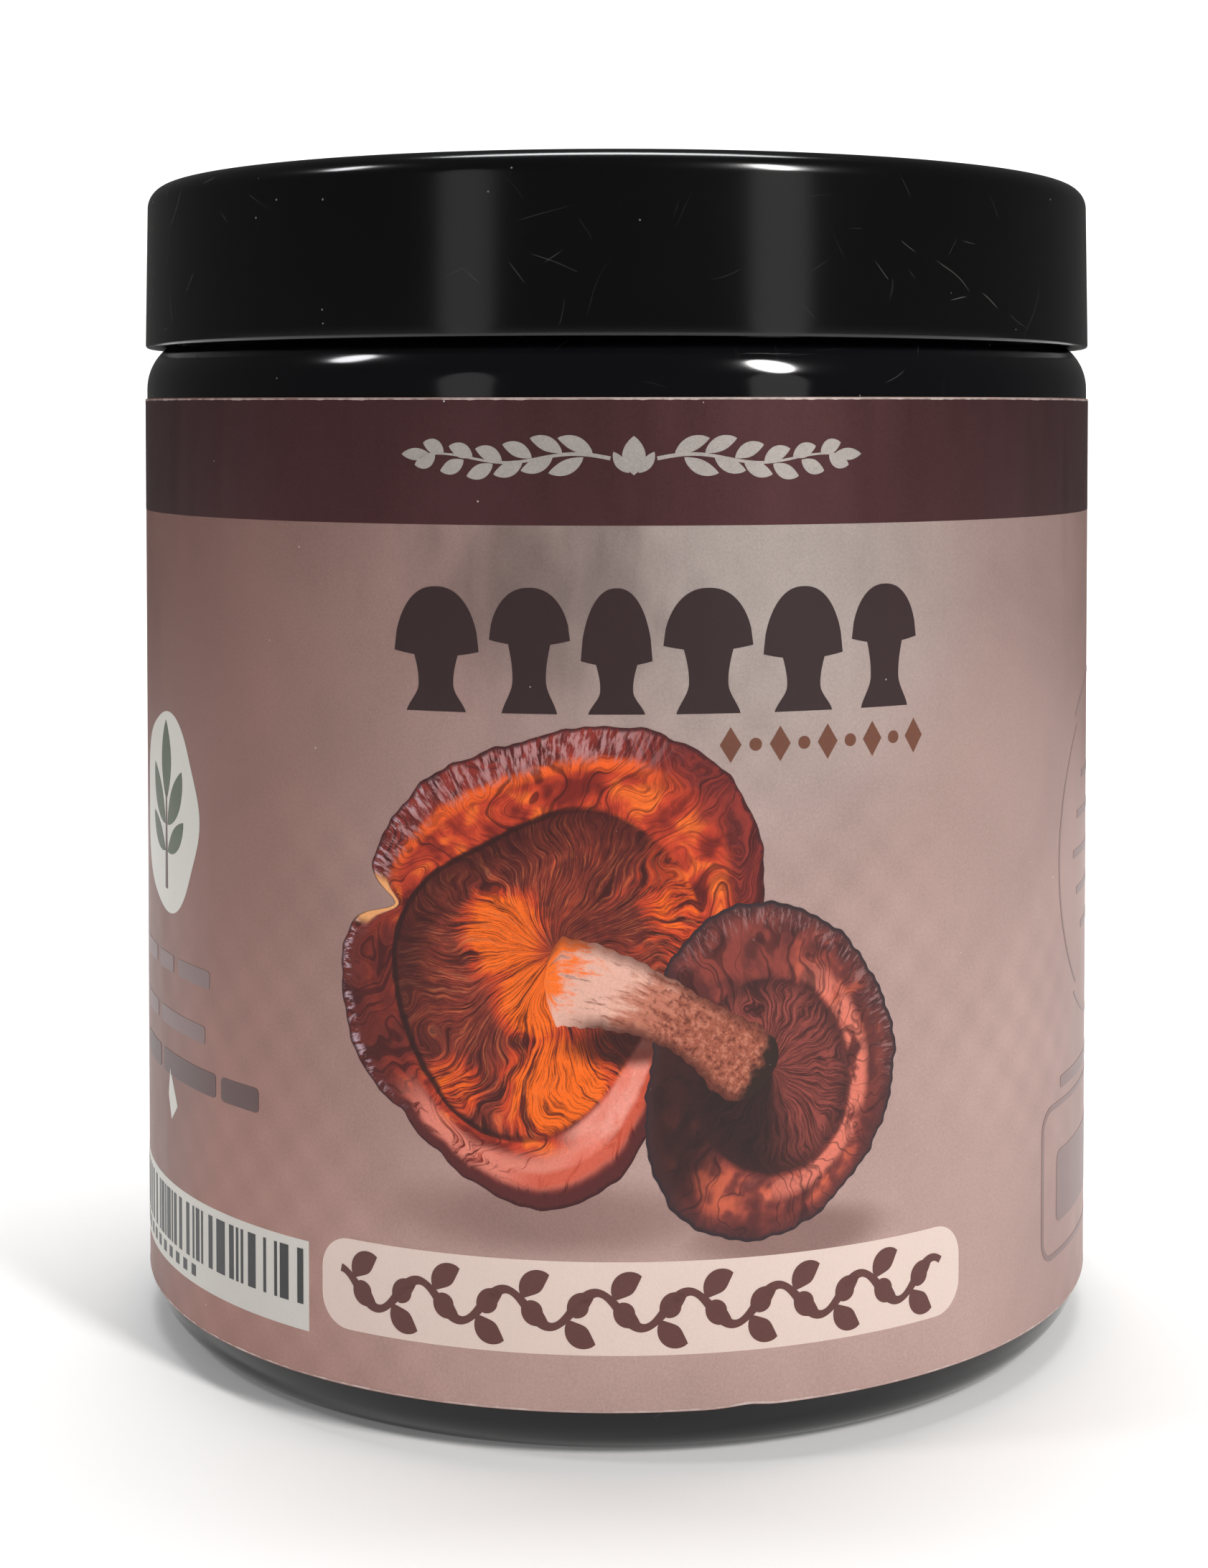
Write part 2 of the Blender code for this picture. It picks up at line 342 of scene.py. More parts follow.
def build_liner(material):
    """A flat disc with soft edges; its faces wander by a few hundredths of a millimetre."""
    soft = 0.22 * MM
    radius = LINER_HIGH.x
    lower = run((0, LINER_LOW.z), (radius - soft, LINER_LOW.z), 24)
    lower_edge = arc((radius - soft, LINER_LOW.z + soft), (soft, soft), -90, 0, 5)[1:]
    upper_edge = arc((radius - soft, LINER_HIGH.z - soft), (soft, soft), 0, 90, 5)
    upper = run((radius - soft, LINER_HIGH.z), (0, LINER_HIGH.z), 24)[1:]
    profile = np.concatenate([lower, lower_edge, upper_edge, upper])
    points, quads = turned(profile, 192)
    x, y, z = points.T
    wander = 0.02 * MM * (np.sin(x * 420 + y * 260) + np.sin(y * 510 - x * 170) - 2)
    middle = (LINER_LOW.z + LINER_HIGH.z) / 2
    points[:, 2] = z + np.where(z < middle, -wander, wander)
    liner = make_piece("foam_liner", points, quads, material, "liner")
    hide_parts("liner")


# ---------------------------------------------------------------- label film and its ink


def film_swell(s, z):
    """How far the film stands off its round, in metres: a long and a short soft crease on the
    right, a pucker at the bottom edge, and slow waves all round. s and z are in millimetres."""
    long_crease = hill(s - (33.0 + 0.21 * (38 - z)), 0.9) * smooth((z - 9) / 6) * smooth((42 - z) / 6)
    short_crease = hill(s - (26.4 + 0.03 * (36 - z)), 0.45)
    short_crease = short_crease * smooth((z - 27) / 4) * smooth((38 - z) / 4)
    pucker = hill(s - 8.0, 2.4) * hill(z - 3.6, 0.8) * (0.6 + 0.4 * np.cos(2.6 * (s - 8.0)))
    waves = 0.5 * np.sin(s / 9.3 + 0.6) * np.sin(z / 15 + 1) + 0.3 * np.sin(s / 4.1 + z / 23)
    return (0.045 * long_crease + 0.02 * short_crease + 0.05 * pucker + 0.012 * waves) * MM


def on_label(places, lift):
    """Points at places (s, z), given in millimetres, and lift metres over the film."""
    s, z = places[..., 0], places[..., 1]
    radius = FILM_RADIUS + film_swell(s, z) + lift
    angle = s * MM / OUTER_RADIUS
    return np.stack([radius * np.sin(angle), -radius * np.cos(angle), z * MM], axis=-1)


def place_map(places):
    """UV pairs of the map "place", which shows where on the label each point is."""
    return places.reshape(-1, 2) * MM / PLACE_UNIT


def film_bottom(s):
    """Height of the film's lower cut edge: a slow wave, with a nick beside the pucker."""
    return FILM_LOW.z / MM + 0.06 + 0.04 * np.sin(s / 11) + 0.16 * hill(s - 8.6, 1.3)


def film_top(s):
    """Height of the film's upper cut edge: a slow wave."""
    return FILM_HIGH.z / MM - 0.06 - 0.04 * np.sin(s / 13 + 2)


def build_film(material):
    """A closed thin shell: the outer face row by row from the bottom up, then the inner face
    from the top down, with both ends closed at the seam. The cut edges wander slightly."""
    rows, columns = 96, 420
    s = np.linspace(FILM_LEFT, FILM_RIGHT, columns)[None, :]
    z = film_bottom(s) + (film_top(s) - film_bottom(s)) * np.linspace(0, 1, rows)[:, None]
    places = np.stack([np.broadcast_to(s, z.shape), z], axis=-1)
    outer = on_label(places, 0)
    inner = on_label(places, -FILM_THICKNESS)[::-1]
    points = np.concatenate([outer, inner]).reshape(-1, 3)
    both = np.concatenate([places, places[::-1]])
    quads = [grid_quads(2 * rows, columns, closed_rows=True)]
    up = np.arange(rows - 1)
    for column, turn in ((0, 1), (columns - 1, -1)):
        outside = up * columns + column
        inside = (2 * rows - 1 - up) * columns + column
        end = np.stack([outside, outside + columns, inside - columns, inside], axis=-1)
        quads.append(end[:, ::turn])
    film = make_piece(
        "label_film", points, np.concatenate(quads), material, "jar", {"place": place_map(both)},
    )
    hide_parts("wrap_label")


def strip(lower, upper, rows=3):
    """A patch between two edges, each an array of places from left to right."""
    share = np.linspace(0, 1, rows)[:, None, None]
    return np.asarray(lower) * (1 - share) + np.asarray(upper) * share


def block(left, right, bottom, top, corner=0.0):
    """An upright rectangle; its corners are quarter rounds, closer set towards its ends."""
    count = max(2, int(abs(right - left) / 0.8) + 2)
    s = np.linspace(left, right, count)
    if corner:
        turn = np.linspace(0, math.pi / 2, 9)
        ends = corner * (1 - np.cos(turn))
        s = np.unique(np.concatenate([s, left + ends, right - ends]))
    near = np.clip(corner - np.minimum(s - left, right - s), 0, corner)
    inset = corner - np.sqrt(np.maximum(corner**2 - near**2, 0))
    rows = max(2, int((top - bottom) / 1.5) + 2)
    lower = np.stack([s, bottom + inset], axis=-1)
    upper = np.stack([s, top - inset], axis=-1)
    return strip(lower, upper, rows)


def stroke(path, half_width, rows=3):
    """A band of ink along a path of places: each point is widened square to the path."""
    along = np.gradient(path, axis=0)
    along /= np.linalg.norm(along, axis=1, keepdims=True)
    across = np.stack([-along[:, 1], along[:, 0]], axis=-1)
    reach = across * np.broadcast_to(half_width, len(path))[:, None]
    return strip(path - reach, path + reach, rows)


def round_line(centre, radius, start, end, half_width, count=60):
    """A stroke along a circle, from start to end in degrees anticlockwise."""
    angle = np.radians(np.linspace(start, end, count))
    return stroke(around(centre, (radius, radius), angle), half_width)


def leaf(foot, angle, length, width, bend=0.0):
    """A pointed leaf: its width follows a sine, raised to a power that fills its ends, over its
    length, and its midrib bends by bend degrees."""
    t = np.linspace(0, 1, 15)
    turn = math.radians(angle) + math.radians(bend) * t
    step = length / (len(t) - 1)
    steps = np.stack([np.cos(turn), np.sin(turn)], axis=-1)
    path = foot + np.cumsum(steps, axis=0) * step
    return stroke(path, 0.5 * width * np.sin(math.pi * t) ** 0.8 + 1e-4)


def disc(centre, radius):
    """A round patch, as rings of points about its centre."""
    return polar(centre, lambda angle, reach: radius * reach, 5, 33)[0]


def polar(centre, radius_at, rows, columns):
    """A patch about a centre, with its polar UV pairs (share of a turn, share of the reach).

    radius_at(angle, reach) is the distance from the centre. The columns run clockwise, which
    makes the patch face outwards, and the last column lies on the first.
    """
    turn = np.linspace(1, 0, columns)[None, :]
    reach = np.linspace(0, 1, rows)[:, None]
    angle = turn * TAU
    radius = radius_at(angle, reach)
    places = around(centre, (radius, radius), angle)
    pairs = np.stack(np.broadcast_arrays(turn, reach), axis=-1)
    return places, pairs


def ink(name, patches, material, lift, picture=None, round_patches=False):
    """Patches of ink joined in one piece, lift over the film, each with a rim sunk in the film.

    picture holds UV pairs for a pattern of the patch's own, and goes with a single patch.
    """
    points, quads, places, pairs = [], [], [], []
    start = 0
    for patch in patches:
        edges = ((0, 1), (0, 0)) if round_patches else ((1, 1), (1, 1))
        wide = np.pad(patch, (*edges, (0, 0)), mode="edge")
        lifts = np.pad(np.full(patch.shape[:2], lift), edges, constant_values=-INK_SINK)
        points.append(on_label(wide, lifts).reshape(-1, 3))
        quads.append(start + grid_quads(*wide.shape[:2]))
        places.append(place_map(wide))
        if picture is not None:
            pairs.append(np.pad(picture, (*edges, (0, 0)), mode="edge").reshape(-1, 2))
        start += wide.shape[0] * wide.shape[1]
    maps = {"place": np.concatenate(places)}
    if pairs:
        maps["picture"] = np.concatenate(pairs)
    made = make_piece(
        name, np.concatenate(points), np.concatenate(quads), material, "jar", maps, sharp=50,
    )


def build_band(material):
    """The dark band: it stops a little short of the film's top edge and of its ends."""
    s = np.linspace(FILM_LEFT + 0.1, FILM_RIGHT - 0.1, 300)
    lower = np.stack([s, np.full_like(s, BAND_BOTTOM)], axis=-1)
    upper = np.stack([s, film_top(s) - 0.16], axis=-1)
    ink("ink_top_band", [strip(lower, upper, 8)], material, BAND_LIFT)


def build_cut_edges(material):
    """The film's silvery cut edges, over the band and along the bottom: hair lines whose width
    follows four sines and thins to almost nothing between them. By the pucker the bottom line
    widens into a painted highlight."""
    s = np.linspace(FILM_LEFT + 0.1, FILM_RIGHT - 0.1, 900)
    rough = np.sin(s * 1.7) + np.sin(s * 3.9 + 1) + np.sin(s * 7.3 + 2) + np.sin(s * 0.6)
    # Painted highlight: the bottom line widens by the pucker, where its edge catches the light
    nick = 0.05 * hill(s - 9.5, 2.2)
    top = np.stack([s, film_top(s) - 0.11], axis=-1)
    bottom = np.stack([s, film_bottom(s) + 0.10], axis=-1)
    patches = [
        stroke(top, np.clip(0.035 + 0.016 * rough, 0.006, 0.1)),
        stroke(bottom, np.clip(0.022 + 0.012 * rough + nick, 0.006, 0.08)),
    ]
    ink("ink_cut_edges", patches, material, LOW_PRINT_LIFT)


def build_garland(material):
    """Two runs of small leaves on a thin stem, mirrored about a bud in the middle."""
    middle, level, half_length = 1.1, 65.2, 13.6
    patches = []
    for side in (-1, 1):
        s = np.linspace(1.5, half_length, 50)
        z = level + 0.28 * np.sin((s - 1.5) / half_length * TAU * 1.5)
        path = np.stack([middle + side * s, z], axis=-1)
        patches.append(stroke(path[::side], np.linspace(0.13, 0.06, 50)[::side]))
        for i in range(6):
            foot = path[4 + 8 * i]
            heading = 0 if side > 0 else 180
            size = 2.5 - 0.18 * i
            patches.append(leaf(foot, heading + side * 38, size, 0.95, -side * 26))
            patches.append(leaf(foot + (side * 0.6, 0), heading - side * 38, size, 0.95, side * 26))
        patches.append(leaf(path[-1] - (side * 0.3, 0), heading, 2.0, 0.8))
    patches.append(leaf((middle, level - 1.25), 90, 2.5, 1.5))
    patches.append(leaf((middle - 0.2, level - 1.0), 138, 1.7, 0.7, -20))
    patches.append(leaf((middle + 0.2, level - 1.0), 42, 1.7, 0.7, 20))
    ink("ink_garland", patches, material, UPPER_INK_LIFT)


def mushroom_sign(middle, foot, width, height, dome, stem, flare):
    """A bold mushroom figure: a domed cap between a hollow lower curve and half an ellipse to a
    power, and a stem that widens at its foot. All sizes are in millimetres."""
    t = np.linspace(-1, 1, 41)
    cap_height = height * dome
    gill_level = foot + height - cap_height
    s = middle + t * width / 2
    round_top = np.maximum(1 - np.abs(t) ** 2.3, 0) ** 0.55
    lower = np.stack([s, gill_level - 0.35 * (1 - t**2) + 0.35], axis=-1)
    upper = np.stack([s, gill_level + 0.35 + (cap_height - 0.35) * round_top], axis=-1)
    down = np.linspace(0, 1, 17)
    path = np.stack([np.full(17, middle), gill_level + 0.2 - (gill_level + 0.2 - foot) * down], -1)
    half = stem / 2 * (1 - 0.22 * np.sin(math.pi * down) + flare * smooth((down - 0.55) / 0.45))
    return [strip(lower, upper, 8), stroke(path, half)]


def build_title(material):
    """Six bold mushroom figures in a row, in place of a title. Each has its own width, share of
    the height that is cap, stem width and share by which the stem's foot widens."""
    figures = (
        (5.9, 0.56, 3.1, 0.34),
        (5.3, 0.46, 2.8, 0.30),
        (4.6, 0.62, 2.7, 0.36),
        (5.9, 0.50, 3.3, 0.28),
        (5.6, 0.58, 3.0, 0.36),
        (5.1, 0.48, 2.8, 0.32),
    )
    left, foot, height, gap = -14.9, 48.8, 8.1, 0.7
    patches = []
    for width, dome, stem, flare in figures:
        patches += mushroom_sign(left + width / 2, foot, width, height, dome, stem, flare)
        left += width + gap
    ink("ink_title_figures", patches, material, INK_LIFT)


def build_subtitle(material):
    """Small lozenges and dots in turn, in place of a second line."""
    start, spacing, level, dot_radius = 7.4, 1.68, 46.75, 0.42
    half_width, half_height = 0.72, 1.15
    patches, dots = [], []
    for i in range(9):
        s = start + spacing * i
        if i % 2:
            dots.append(disc((s, level), dot_radius))
        else:
            ends = (s - half_width, level), (s + half_width, level)
            lower = [ends[0], (s, level - half_height), ends[1]]
            upper = [ends[0], (s, level + half_height), ends[1]]
            patches.append(strip(lower, upper))
    ink("ink_subtitle_lozenges", patches, material, INK_LIFT)
    ink("ink_subtitle_dots", dots, material, INK_LIFT, round_patches=True)


def large_cap_outline(angle):
    """Distance of the large cap's edge from its gills' centre: a round with five waves of one to
    five lobes a turn, a bite at the left, and a ragged rim of quick waves."""
    round_edge = 14.26 - 0.94 * np.cos(angle) + 1.98 * np.cos(2 * angle - 2.00)
    lobes = 1.03 * np.cos(3 * angle - 1.77) + 0.47 * np.cos(4 * angle - 0.83)
    lobes = lobes + 0.38 * np.cos(5 * angle + 0.92)
    degrees = np.degrees(angle)
    bite = 2.9 * hill(degrees - 167, 5.2) + 0.5 * hill(degrees - 226, 4.0)
    ragged = 0.12 * np.sin(13 * angle + 1) * np.sin(5 * angle)
    ragged = ragged + 0.09 * np.sin(31 * angle) * np.cos(3 * angle)
    return round_edge + lobes - bite + ragged + 0.05 * np.sin(67 * angle) * np.sin(9 * angle + 1)


def large_cap_ring(angle):
    """Distance of the dark ring inside the large cap: a round with waves of one to four lobes."""
    waves = 1.32 * np.cos(angle + 2.29) + 1.39 * np.cos(2 * angle - 1.67)
    return 9.94 + waves + 0.45 * np.cos(3 * angle - 1.35) + 0.39 * np.cos(4 * angle + 0.59)


def small_cap_outline(angle):
    """Distance of the small cap's edge from its middle: an upright oval with three flat sides
    and a ragged rim."""
    upright = 9.79 - 0.17 * np.sin(angle) - 1.19 * np.cos(2 * angle + 0.17)
    flats = 0.55 * np.cos(3 * angle + 0.17)
    ragged = 0.10 * np.sin(11 * angle) * np.cos(3 * angle)
    ragged = ragged + 0.08 * np.sin(29 * angle) * np.sin(4 * angle + 1)
    return upright + flats + ragged + 0.04 * np.sin(61 * angle)


def small_cap_ring(angle):
    """Distance of the small cap's ring from its middle."""
    return 5.9 - 0.55 * np.cos(2 * angle - 0.3) - 0.5 * np.sin(angle)


def cap_patch(centre, outline, ring, rows=34, columns=300):
    """A cap's patch: within RING_REACH the reach is measured to the ring, and beyond it from
    the ring to the outline, so that a pattern on the map follows both."""

    def radius_at(angle, reach):
        inner = ring(angle) * reach / RING_REACH
        beyond = (reach - RING_REACH) / (1 - RING_REACH)
        outer = ring(angle) + (outline(angle) - ring(angle)) * beyond
        return np.where(reach < RING_REACH, inner, outer)

    return polar(centre, radius_at, rows, columns)


def build_caps(large, small):
    """Both caps of the mushroom picture; the small one lies over the large one."""
    places, pairs = cap_patch(LARGE_CAP_CENTRE, large_cap_outline, large_cap_ring)
    ink("ink_large_cap", [places], large, LOW_PRINT_LIFT, pairs, round_patches=True)
    places, pairs = cap_patch(SMALL_CAP_CENTRE, small_cap_outline, small_cap_ring)
    ink("ink_small_cap", [places], small, SMALL_CAP_LIFT, pairs, round_patches=True)


def build_stem(material):
    """The stem: a band along a line that bows down from the large cap's middle over the small
    cap, widest at its rounded root, waisted, and cut off raggedly at its swollen foot."""
    t = np.linspace(0, 1, 90)
    path = np.stack([-4.7 + 14.5 * t, 31.6 - 6.9 * t**2], axis=-1)
    half = 2.95 - 0.95 * smooth(t / 0.65) + 0.55 * smooth((t - 0.68) / 0.2)
    closing = np.sqrt(np.clip(t / 0.07, 0, 1)) * np.clip((1 - t) / 0.07, 0, 1) ** 0.35
    rough = 0.05 * np.sin(38 * t) + 0.05 * np.sin(97 * t + 1)
    rough = rough + 0.12 * smooth((t - 0.7) / 0.3) * np.sin(61 * t)
    rows = 13
    places = stroke(path, np.maximum((half + rough) * closing, 0.02), rows)
    pairs = np.stack(np.broadcast_arrays(t[None, :], np.linspace(0, 1, rows)[:, None]), axis=-1)
    ink("ink_stem", [places], material, STEM_LIFT, pairs)


def build_pill(cream, brown):
    """A cream panel with rounded corners and a leafy vine running along it in place of words."""
    left, right, bottom, top = -20.8, 25.2, 7.3, 13.4
    ink("ink_cream_panel", [block(left, right, bottom, top, 2.2)], cream, GROUND_LIFT)
    period = 6.0
    middle = (bottom + top) / 2 - 0.1

    def vine(s):
        return middle + 1.15 * np.sin((s - left) * TAU / period)

    s = np.linspace(left + 1.6, right - 1.8, 260)
    patches = [stroke(np.stack([s, vine(s)], axis=-1), 0.30 + 0.06 * np.sin(s * 2.1))]
    for i in range(14):
        foot_s = left + 2.6 + period / 2 * i
        foot = (foot_s, float(vine(foot_s)))
        side = 1 if i % 2 == 0 else -1
        beside = (foot_s + 1.2, float(vine(foot_s + 1.2)))
        patches.append(leaf(foot, side * 74, 2.5, 1.5, -side * 60))
        patches.append(leaf(foot, -side * 62, 2.1, 1.3, side * 50))
        patches.append(leaf(beside, side * 100, 1.5, 0.9, side * 40))
    ink("ink_panel_vine", patches, brown, UPPER_INK_LIFT)


def build_code_panel(white, black):
    """An off-white panel with plain stripes of mixed widths and a row of small squares."""
    left, right, bottom, top = -62.0, -22.0, 6.5, 12.6
    ink("ink_code_panel", [block(left, right, bottom, top)], white, GROUND_LIFT)
    rng = np.random.default_rng(7)
    patches = []
    s = right - 0.5
    while s > left + 2:
        width = rng.choice([0.28, 0.55, 0.83, 1.1], p=[0.38, 0.3, 0.2, 0.12])
        patches.append(block(s - width, s, bottom + 1.75, top - 0.6))
        s -= width + rng.choice([0.28, 0.55, 0.83], p=[0.45, 0.35, 0.2])
    for i in range(12):
        corner = right - 13.0 - 1.5 * i
        patches.append(block(corner - 0.7, corner, bottom + 0.55, bottom + 1.35))
    ink("ink_code_stripes", patches, black, UPPER_INK_LIFT)


def build_sprig(pale, green, dark):
    """A pale rounded mark with a sprig of five leaves on it."""
    centre = np.array((-40.6, 39.4))

    def edge(angle, reach):
        return reach * (6.3 + 0.9 * np.sin(angle) ** 2 + 0.25 * np.cos(5 * angle))

    ink("ink_sprig_ground", [polar(centre, edge, 8, 90)[0]], pale, GROUND_LIFT, round_patches=True)
    leaves = [leaf(centre + (0.2, 0.4), 90, 5.8, 2.3)]
    for side in (-1, 1):
        leaves.append(leaf(centre + (0.2, -1.2), 90 - side * 48, 5.2, 2.0, side * 22))
        leaves.append(leaf(centre + (0.2, -3.0), 90 - side * 66, 4.2, 1.6, side * 24))
    ink("ink_sprig_leaves", leaves, green, UPPER_INK_LIFT)
    stem = np.stack([np.full(12, 0.2), np.linspace(-5.6, 1.4, 12)], axis=-1) + centre
    ink("ink_sprig_stem", [stroke(stem, np.linspace(0.28, 0.12, 12))], dark, SPRIG_STEM_LIFT)


def word_row(right, level, height, lengths, gap=1.0):
    """A row of blank bars of the given lengths, laid from the right."""
    patches = []
    for length in lengths:
        patches.append(block(right - length, right, level, level + height, 0.22 * height))
        right -= length + gap
    return patches


def build_small_rows(thin, dark, pale):
    """Three rows of blank bars and a small arrowhead, in place of an address."""
    rows = word_row(-32.7, 27.9, 1.25, (5.2, 3.4, 5.0))
    rows += word_row(-33.4, 23.9, 1.25, (8.6, 4.2))
    ink("ink_small_rows", rows, thin, INK_LIFT)
    ink("ink_bold_row", word_row(-26.8, 20.4, 1.7, (4.4, 9.6, 5.5), 0.7), dark, INK_LIFT)
    lower = [(-40.2, 18.9), (-39.5, 17.2), (-38.2, 18.4)]
    upper = [(-40.2, 18.9), (-39.8, 20.8), (-38.2, 18.4)]
    ink("ink_arrowhead", [strip(lower, upper)], pale, INK_LIFT)


def build_seal(material):
    """Two broken thin rings round five short blank rows, and a rounded frame below them."""
    centre = (50.7, 35.9)
    rings = ((12.0, 128, 232), (12.0, -52, 52), (12.9, 232, 308), (12.9, 52, 128))
    patches = [round_line(centre, *ring, half_width=0.13) for ring in rings]
    for i, half in enumerate((5.4, 7.2, 8.4, 7.2, 5.4)):
        level = centre[1] + 5.6 - 2.8 * i
        patches.append(block(centre[0] - half, centre[0] + half, level - 0.3, level + 0.3, 0.12))
    left, right, bottom, top, corner = 35.8, 58.0, 7.7, 18.5, 1.6
    for level in (bottom, top):
        path = np.stack([np.linspace(left + corner, right - corner, 24), np.full(24, level)], -1)
        patches.append(stroke(path, 0.2))
    for side, inner, start, turn in ((left, left + corner, 180, 90), (right, right - corner, 0, -90)):
        path = np.stack([np.full(12, side), np.linspace(bottom + corner, top - corner, 12)], -1)
        patches.append(stroke(path, 0.2))
        patches.append(round_line((inner, top - corner), corner, start, start - turn, 0.2, 10))
        patches.append(round_line((inner, bottom + corner), corner, start, start + turn, 0.2, 10))
    patches.append(block(left + 2.6, right - 2.6, bottom + 2.2, bottom + 7.4, 0.8))
    patches.append(block(left + 3.4, right - 3.4, top + 1.0, top + 1.9, 0.25))
    ink("ink_seal_and_frame", patches, material, INK_LIFT)


def build_back_panel(pale, dark):
    """A plain table of facts: a pale panel, rules of two weights and blank bars between them."""
    left, right, bottom, top = 67.0, 104.0, 8.0, 57.0
    ink("ink_table_ground", [block(left, right, bottom, top, 1.2)], pale, GROUND_LIFT)
    patches = []
    rng = np.random.default_rng(11)
    levels = np.arange(top - 8.0, bottom + 2.0, -3.2)
    for i, level in enumerate(levels):
        weight = 0.28 if i in (0, 3, 11) else 0.09
        patches.append(block(left + 2, right - 2, level - weight, level + weight))
        length = rng.uniform(8, 18)
        patches.append(block(left + 2.6, left + 2.6 + length, level - 2.0, level - 1.2, 0.2))
        length = rng.uniform(2.5, 5)
        patches.append(block(right - 2.6 - length, right - 2.6, level - 2.0, level - 1.2, 0.2))
    patches.append(block(left + 2, right - 9, top - 5.2, top - 2.6, 0.5))
    ink("ink_table_rules", patches, dark, UPPER_INK_LIFT)


def build_paragraphs(dark):
    """Lines of blank bars on the left of the back, as two plain paragraphs."""
    rng = np.random.default_rng(23)
    patches = []
    for i in range(17):
        if i == 8:
            continue
        level = 53.0 - 2.5 * i
        s, end = -104.0, -70.0 - (12.0 if i in (7, 16) else 0.0)
        while s < end - 2:
            length = min(rng.uniform(2.2, 7.5), end - s)
            patches.append(block(s, s + length, level, level + 0.8, 0.2))
            s += length + 0.9
    ink("ink_paragraphs", patches, dark, INK_LIFT)


# ---------------------------------------------------------------- materials


class Nodes:
    """Short ways to add nodes to one tree. A value is a number, a colour or another's output."""

    def __init__(self, tree):
        self.tree = tree

    def feed(self, socket, value):
        if isinstance(value, bpy.types.NodeSocket):
            self.tree.links.new(value, socket)
        else:
            socket.default_value = value

    def add(self, kind, inputs=None, output=0, **settings):
        node = self.tree.nodes.new("ShaderNode" + kind)
        for name, value in settings.items():
            setattr(node, name, value)
        for key, value in (inputs or {}).items():
            self.feed(node.inputs[key], value)
        return node.outputs[output]

    def math(self, operation, *values):
        return self.add("Math", dict(enumerate(values)), operation=operation)

    def chain(self, operation, values):
        """The values taken together from the left, two at a time."""
        return functools.reduce(lambda first, second: self.math(operation, first, second), values)

    def times(self, *values):
        return self.chain("MULTIPLY", values)

    def plus(self, *values):
        return self.chain("ADD", values)

    def most(self, *values):
        return self.chain("MAXIMUM", values)

    def minus(self, value, taken):
        return self.math("SUBTRACT", value, taken)

    def swing(self, value, size):
        """A noise value swung about 0, size wide."""
        return self.times(self.minus(value, 0.5), size)

    def ease(self, value, low, high, start=0.0, end=1.0):
        """A smooth change from start, where value is low, to end, where it is high."""
        limits = {"Value": value, "From Min": low, "From Max": high, "To Min": start, "To Max": end}
        return self.add("MapRange", limits, interpolation_type="SMOOTHSTEP")

    def between(self, value, start, full, fade, end):
        """0 up to start, 1 from full to fade, and 0 again from end on."""
        return self.times(self.ease(value, start, full), self.ease(value, fade, end, 1.0, 0.0))

    def mix(self, share, first, second):
        return self.add("Mix", {0: share, 6: first, 7: second}, output=2, data_type="RGBA")

    def layers(self, colour, *over):
        """The colour under layers of others, each a pair of its mask and its colour."""
        for share, layer in over:
            colour = self.mix(share, colour, layer)
        return colour

    def noise(self, vector, scale, detail=2.0, roughness=0.5, distortion=0.0, output=0):
        inputs = {
            "Vector": vector, "Scale": scale, "Detail": detail,
            "Roughness": roughness, "Distortion": distortion,
        }
        return self.add("TexNoise", inputs, output=output)

    def cells(self, vector, scale):
        """Rounded cells: Distance from the cell's middle, its random Color, and its Position."""
        node = self.tree.nodes.new("ShaderNodeTexVoronoi")
        self.feed(node.inputs["Vector"], vector)
        self.feed(node.inputs["Scale"], scale)
        return node.outputs

    def spot(self):
        """The place in the object's own metres."""
        return self.add("TexCoord", output="Object")

    def stretch(self, vector, factors, shift=(0.0, 0.0, 0.0)):
        inputs = {0: vector, 1: factors, 2: shift}
        return self.add("VectorMath", inputs, operation="MULTIPLY_ADD")

    def parts(self, vector):
        """The three numbers of a vector."""
        node = self.tree.nodes.new("ShaderNodeSeparateXYZ")
        self.feed(node.inputs[0], vector)
        return node.outputs[0], node.outputs[1], node.outputs[2]

    def vector(self, x, y, z=0.0):
        return self.add("CombineXYZ", {0: x, 1: y, 2: z})

    def brighten(self, colour, factor):
        """The colour with its value multiplied by factor."""
        return self.add("HueSaturation", {"Color": colour, "Value": factor})

    def group(self, tree, inputs):
        """A node group in this tree, whose outputs are read by name."""
        node = self.tree.nodes.new("ShaderNodeGroup")
        node.node_tree = tree
        for key, value in inputs.items():
            self.feed(node.inputs[key], value)
        return node.outputs


def new_group(name, inputs, outputs):
    """A node group with the given sockets: {title: default} in, {title: kind} out."""
    tree = bpy.data.node_groups.new(name, "ShaderNodeTree")
    for title, default in inputs.items():
        kind = "NodeSocketColor" if isinstance(default, tuple) else "NodeSocketFloat"
        socket = tree.interface.new_socket(title, in_out="INPUT", socket_type=kind)
        socket.default_value = default
    for title, kind in outputs.items():
        tree.interface.new_socket(title, in_out="OUTPUT", socket_type="NodeSocket" + kind)
    given = tree.nodes.new("NodeGroupInput").outputs
    result = tree.nodes.new("NodeGroupOutput").inputs
    return tree, Nodes(tree), given, result


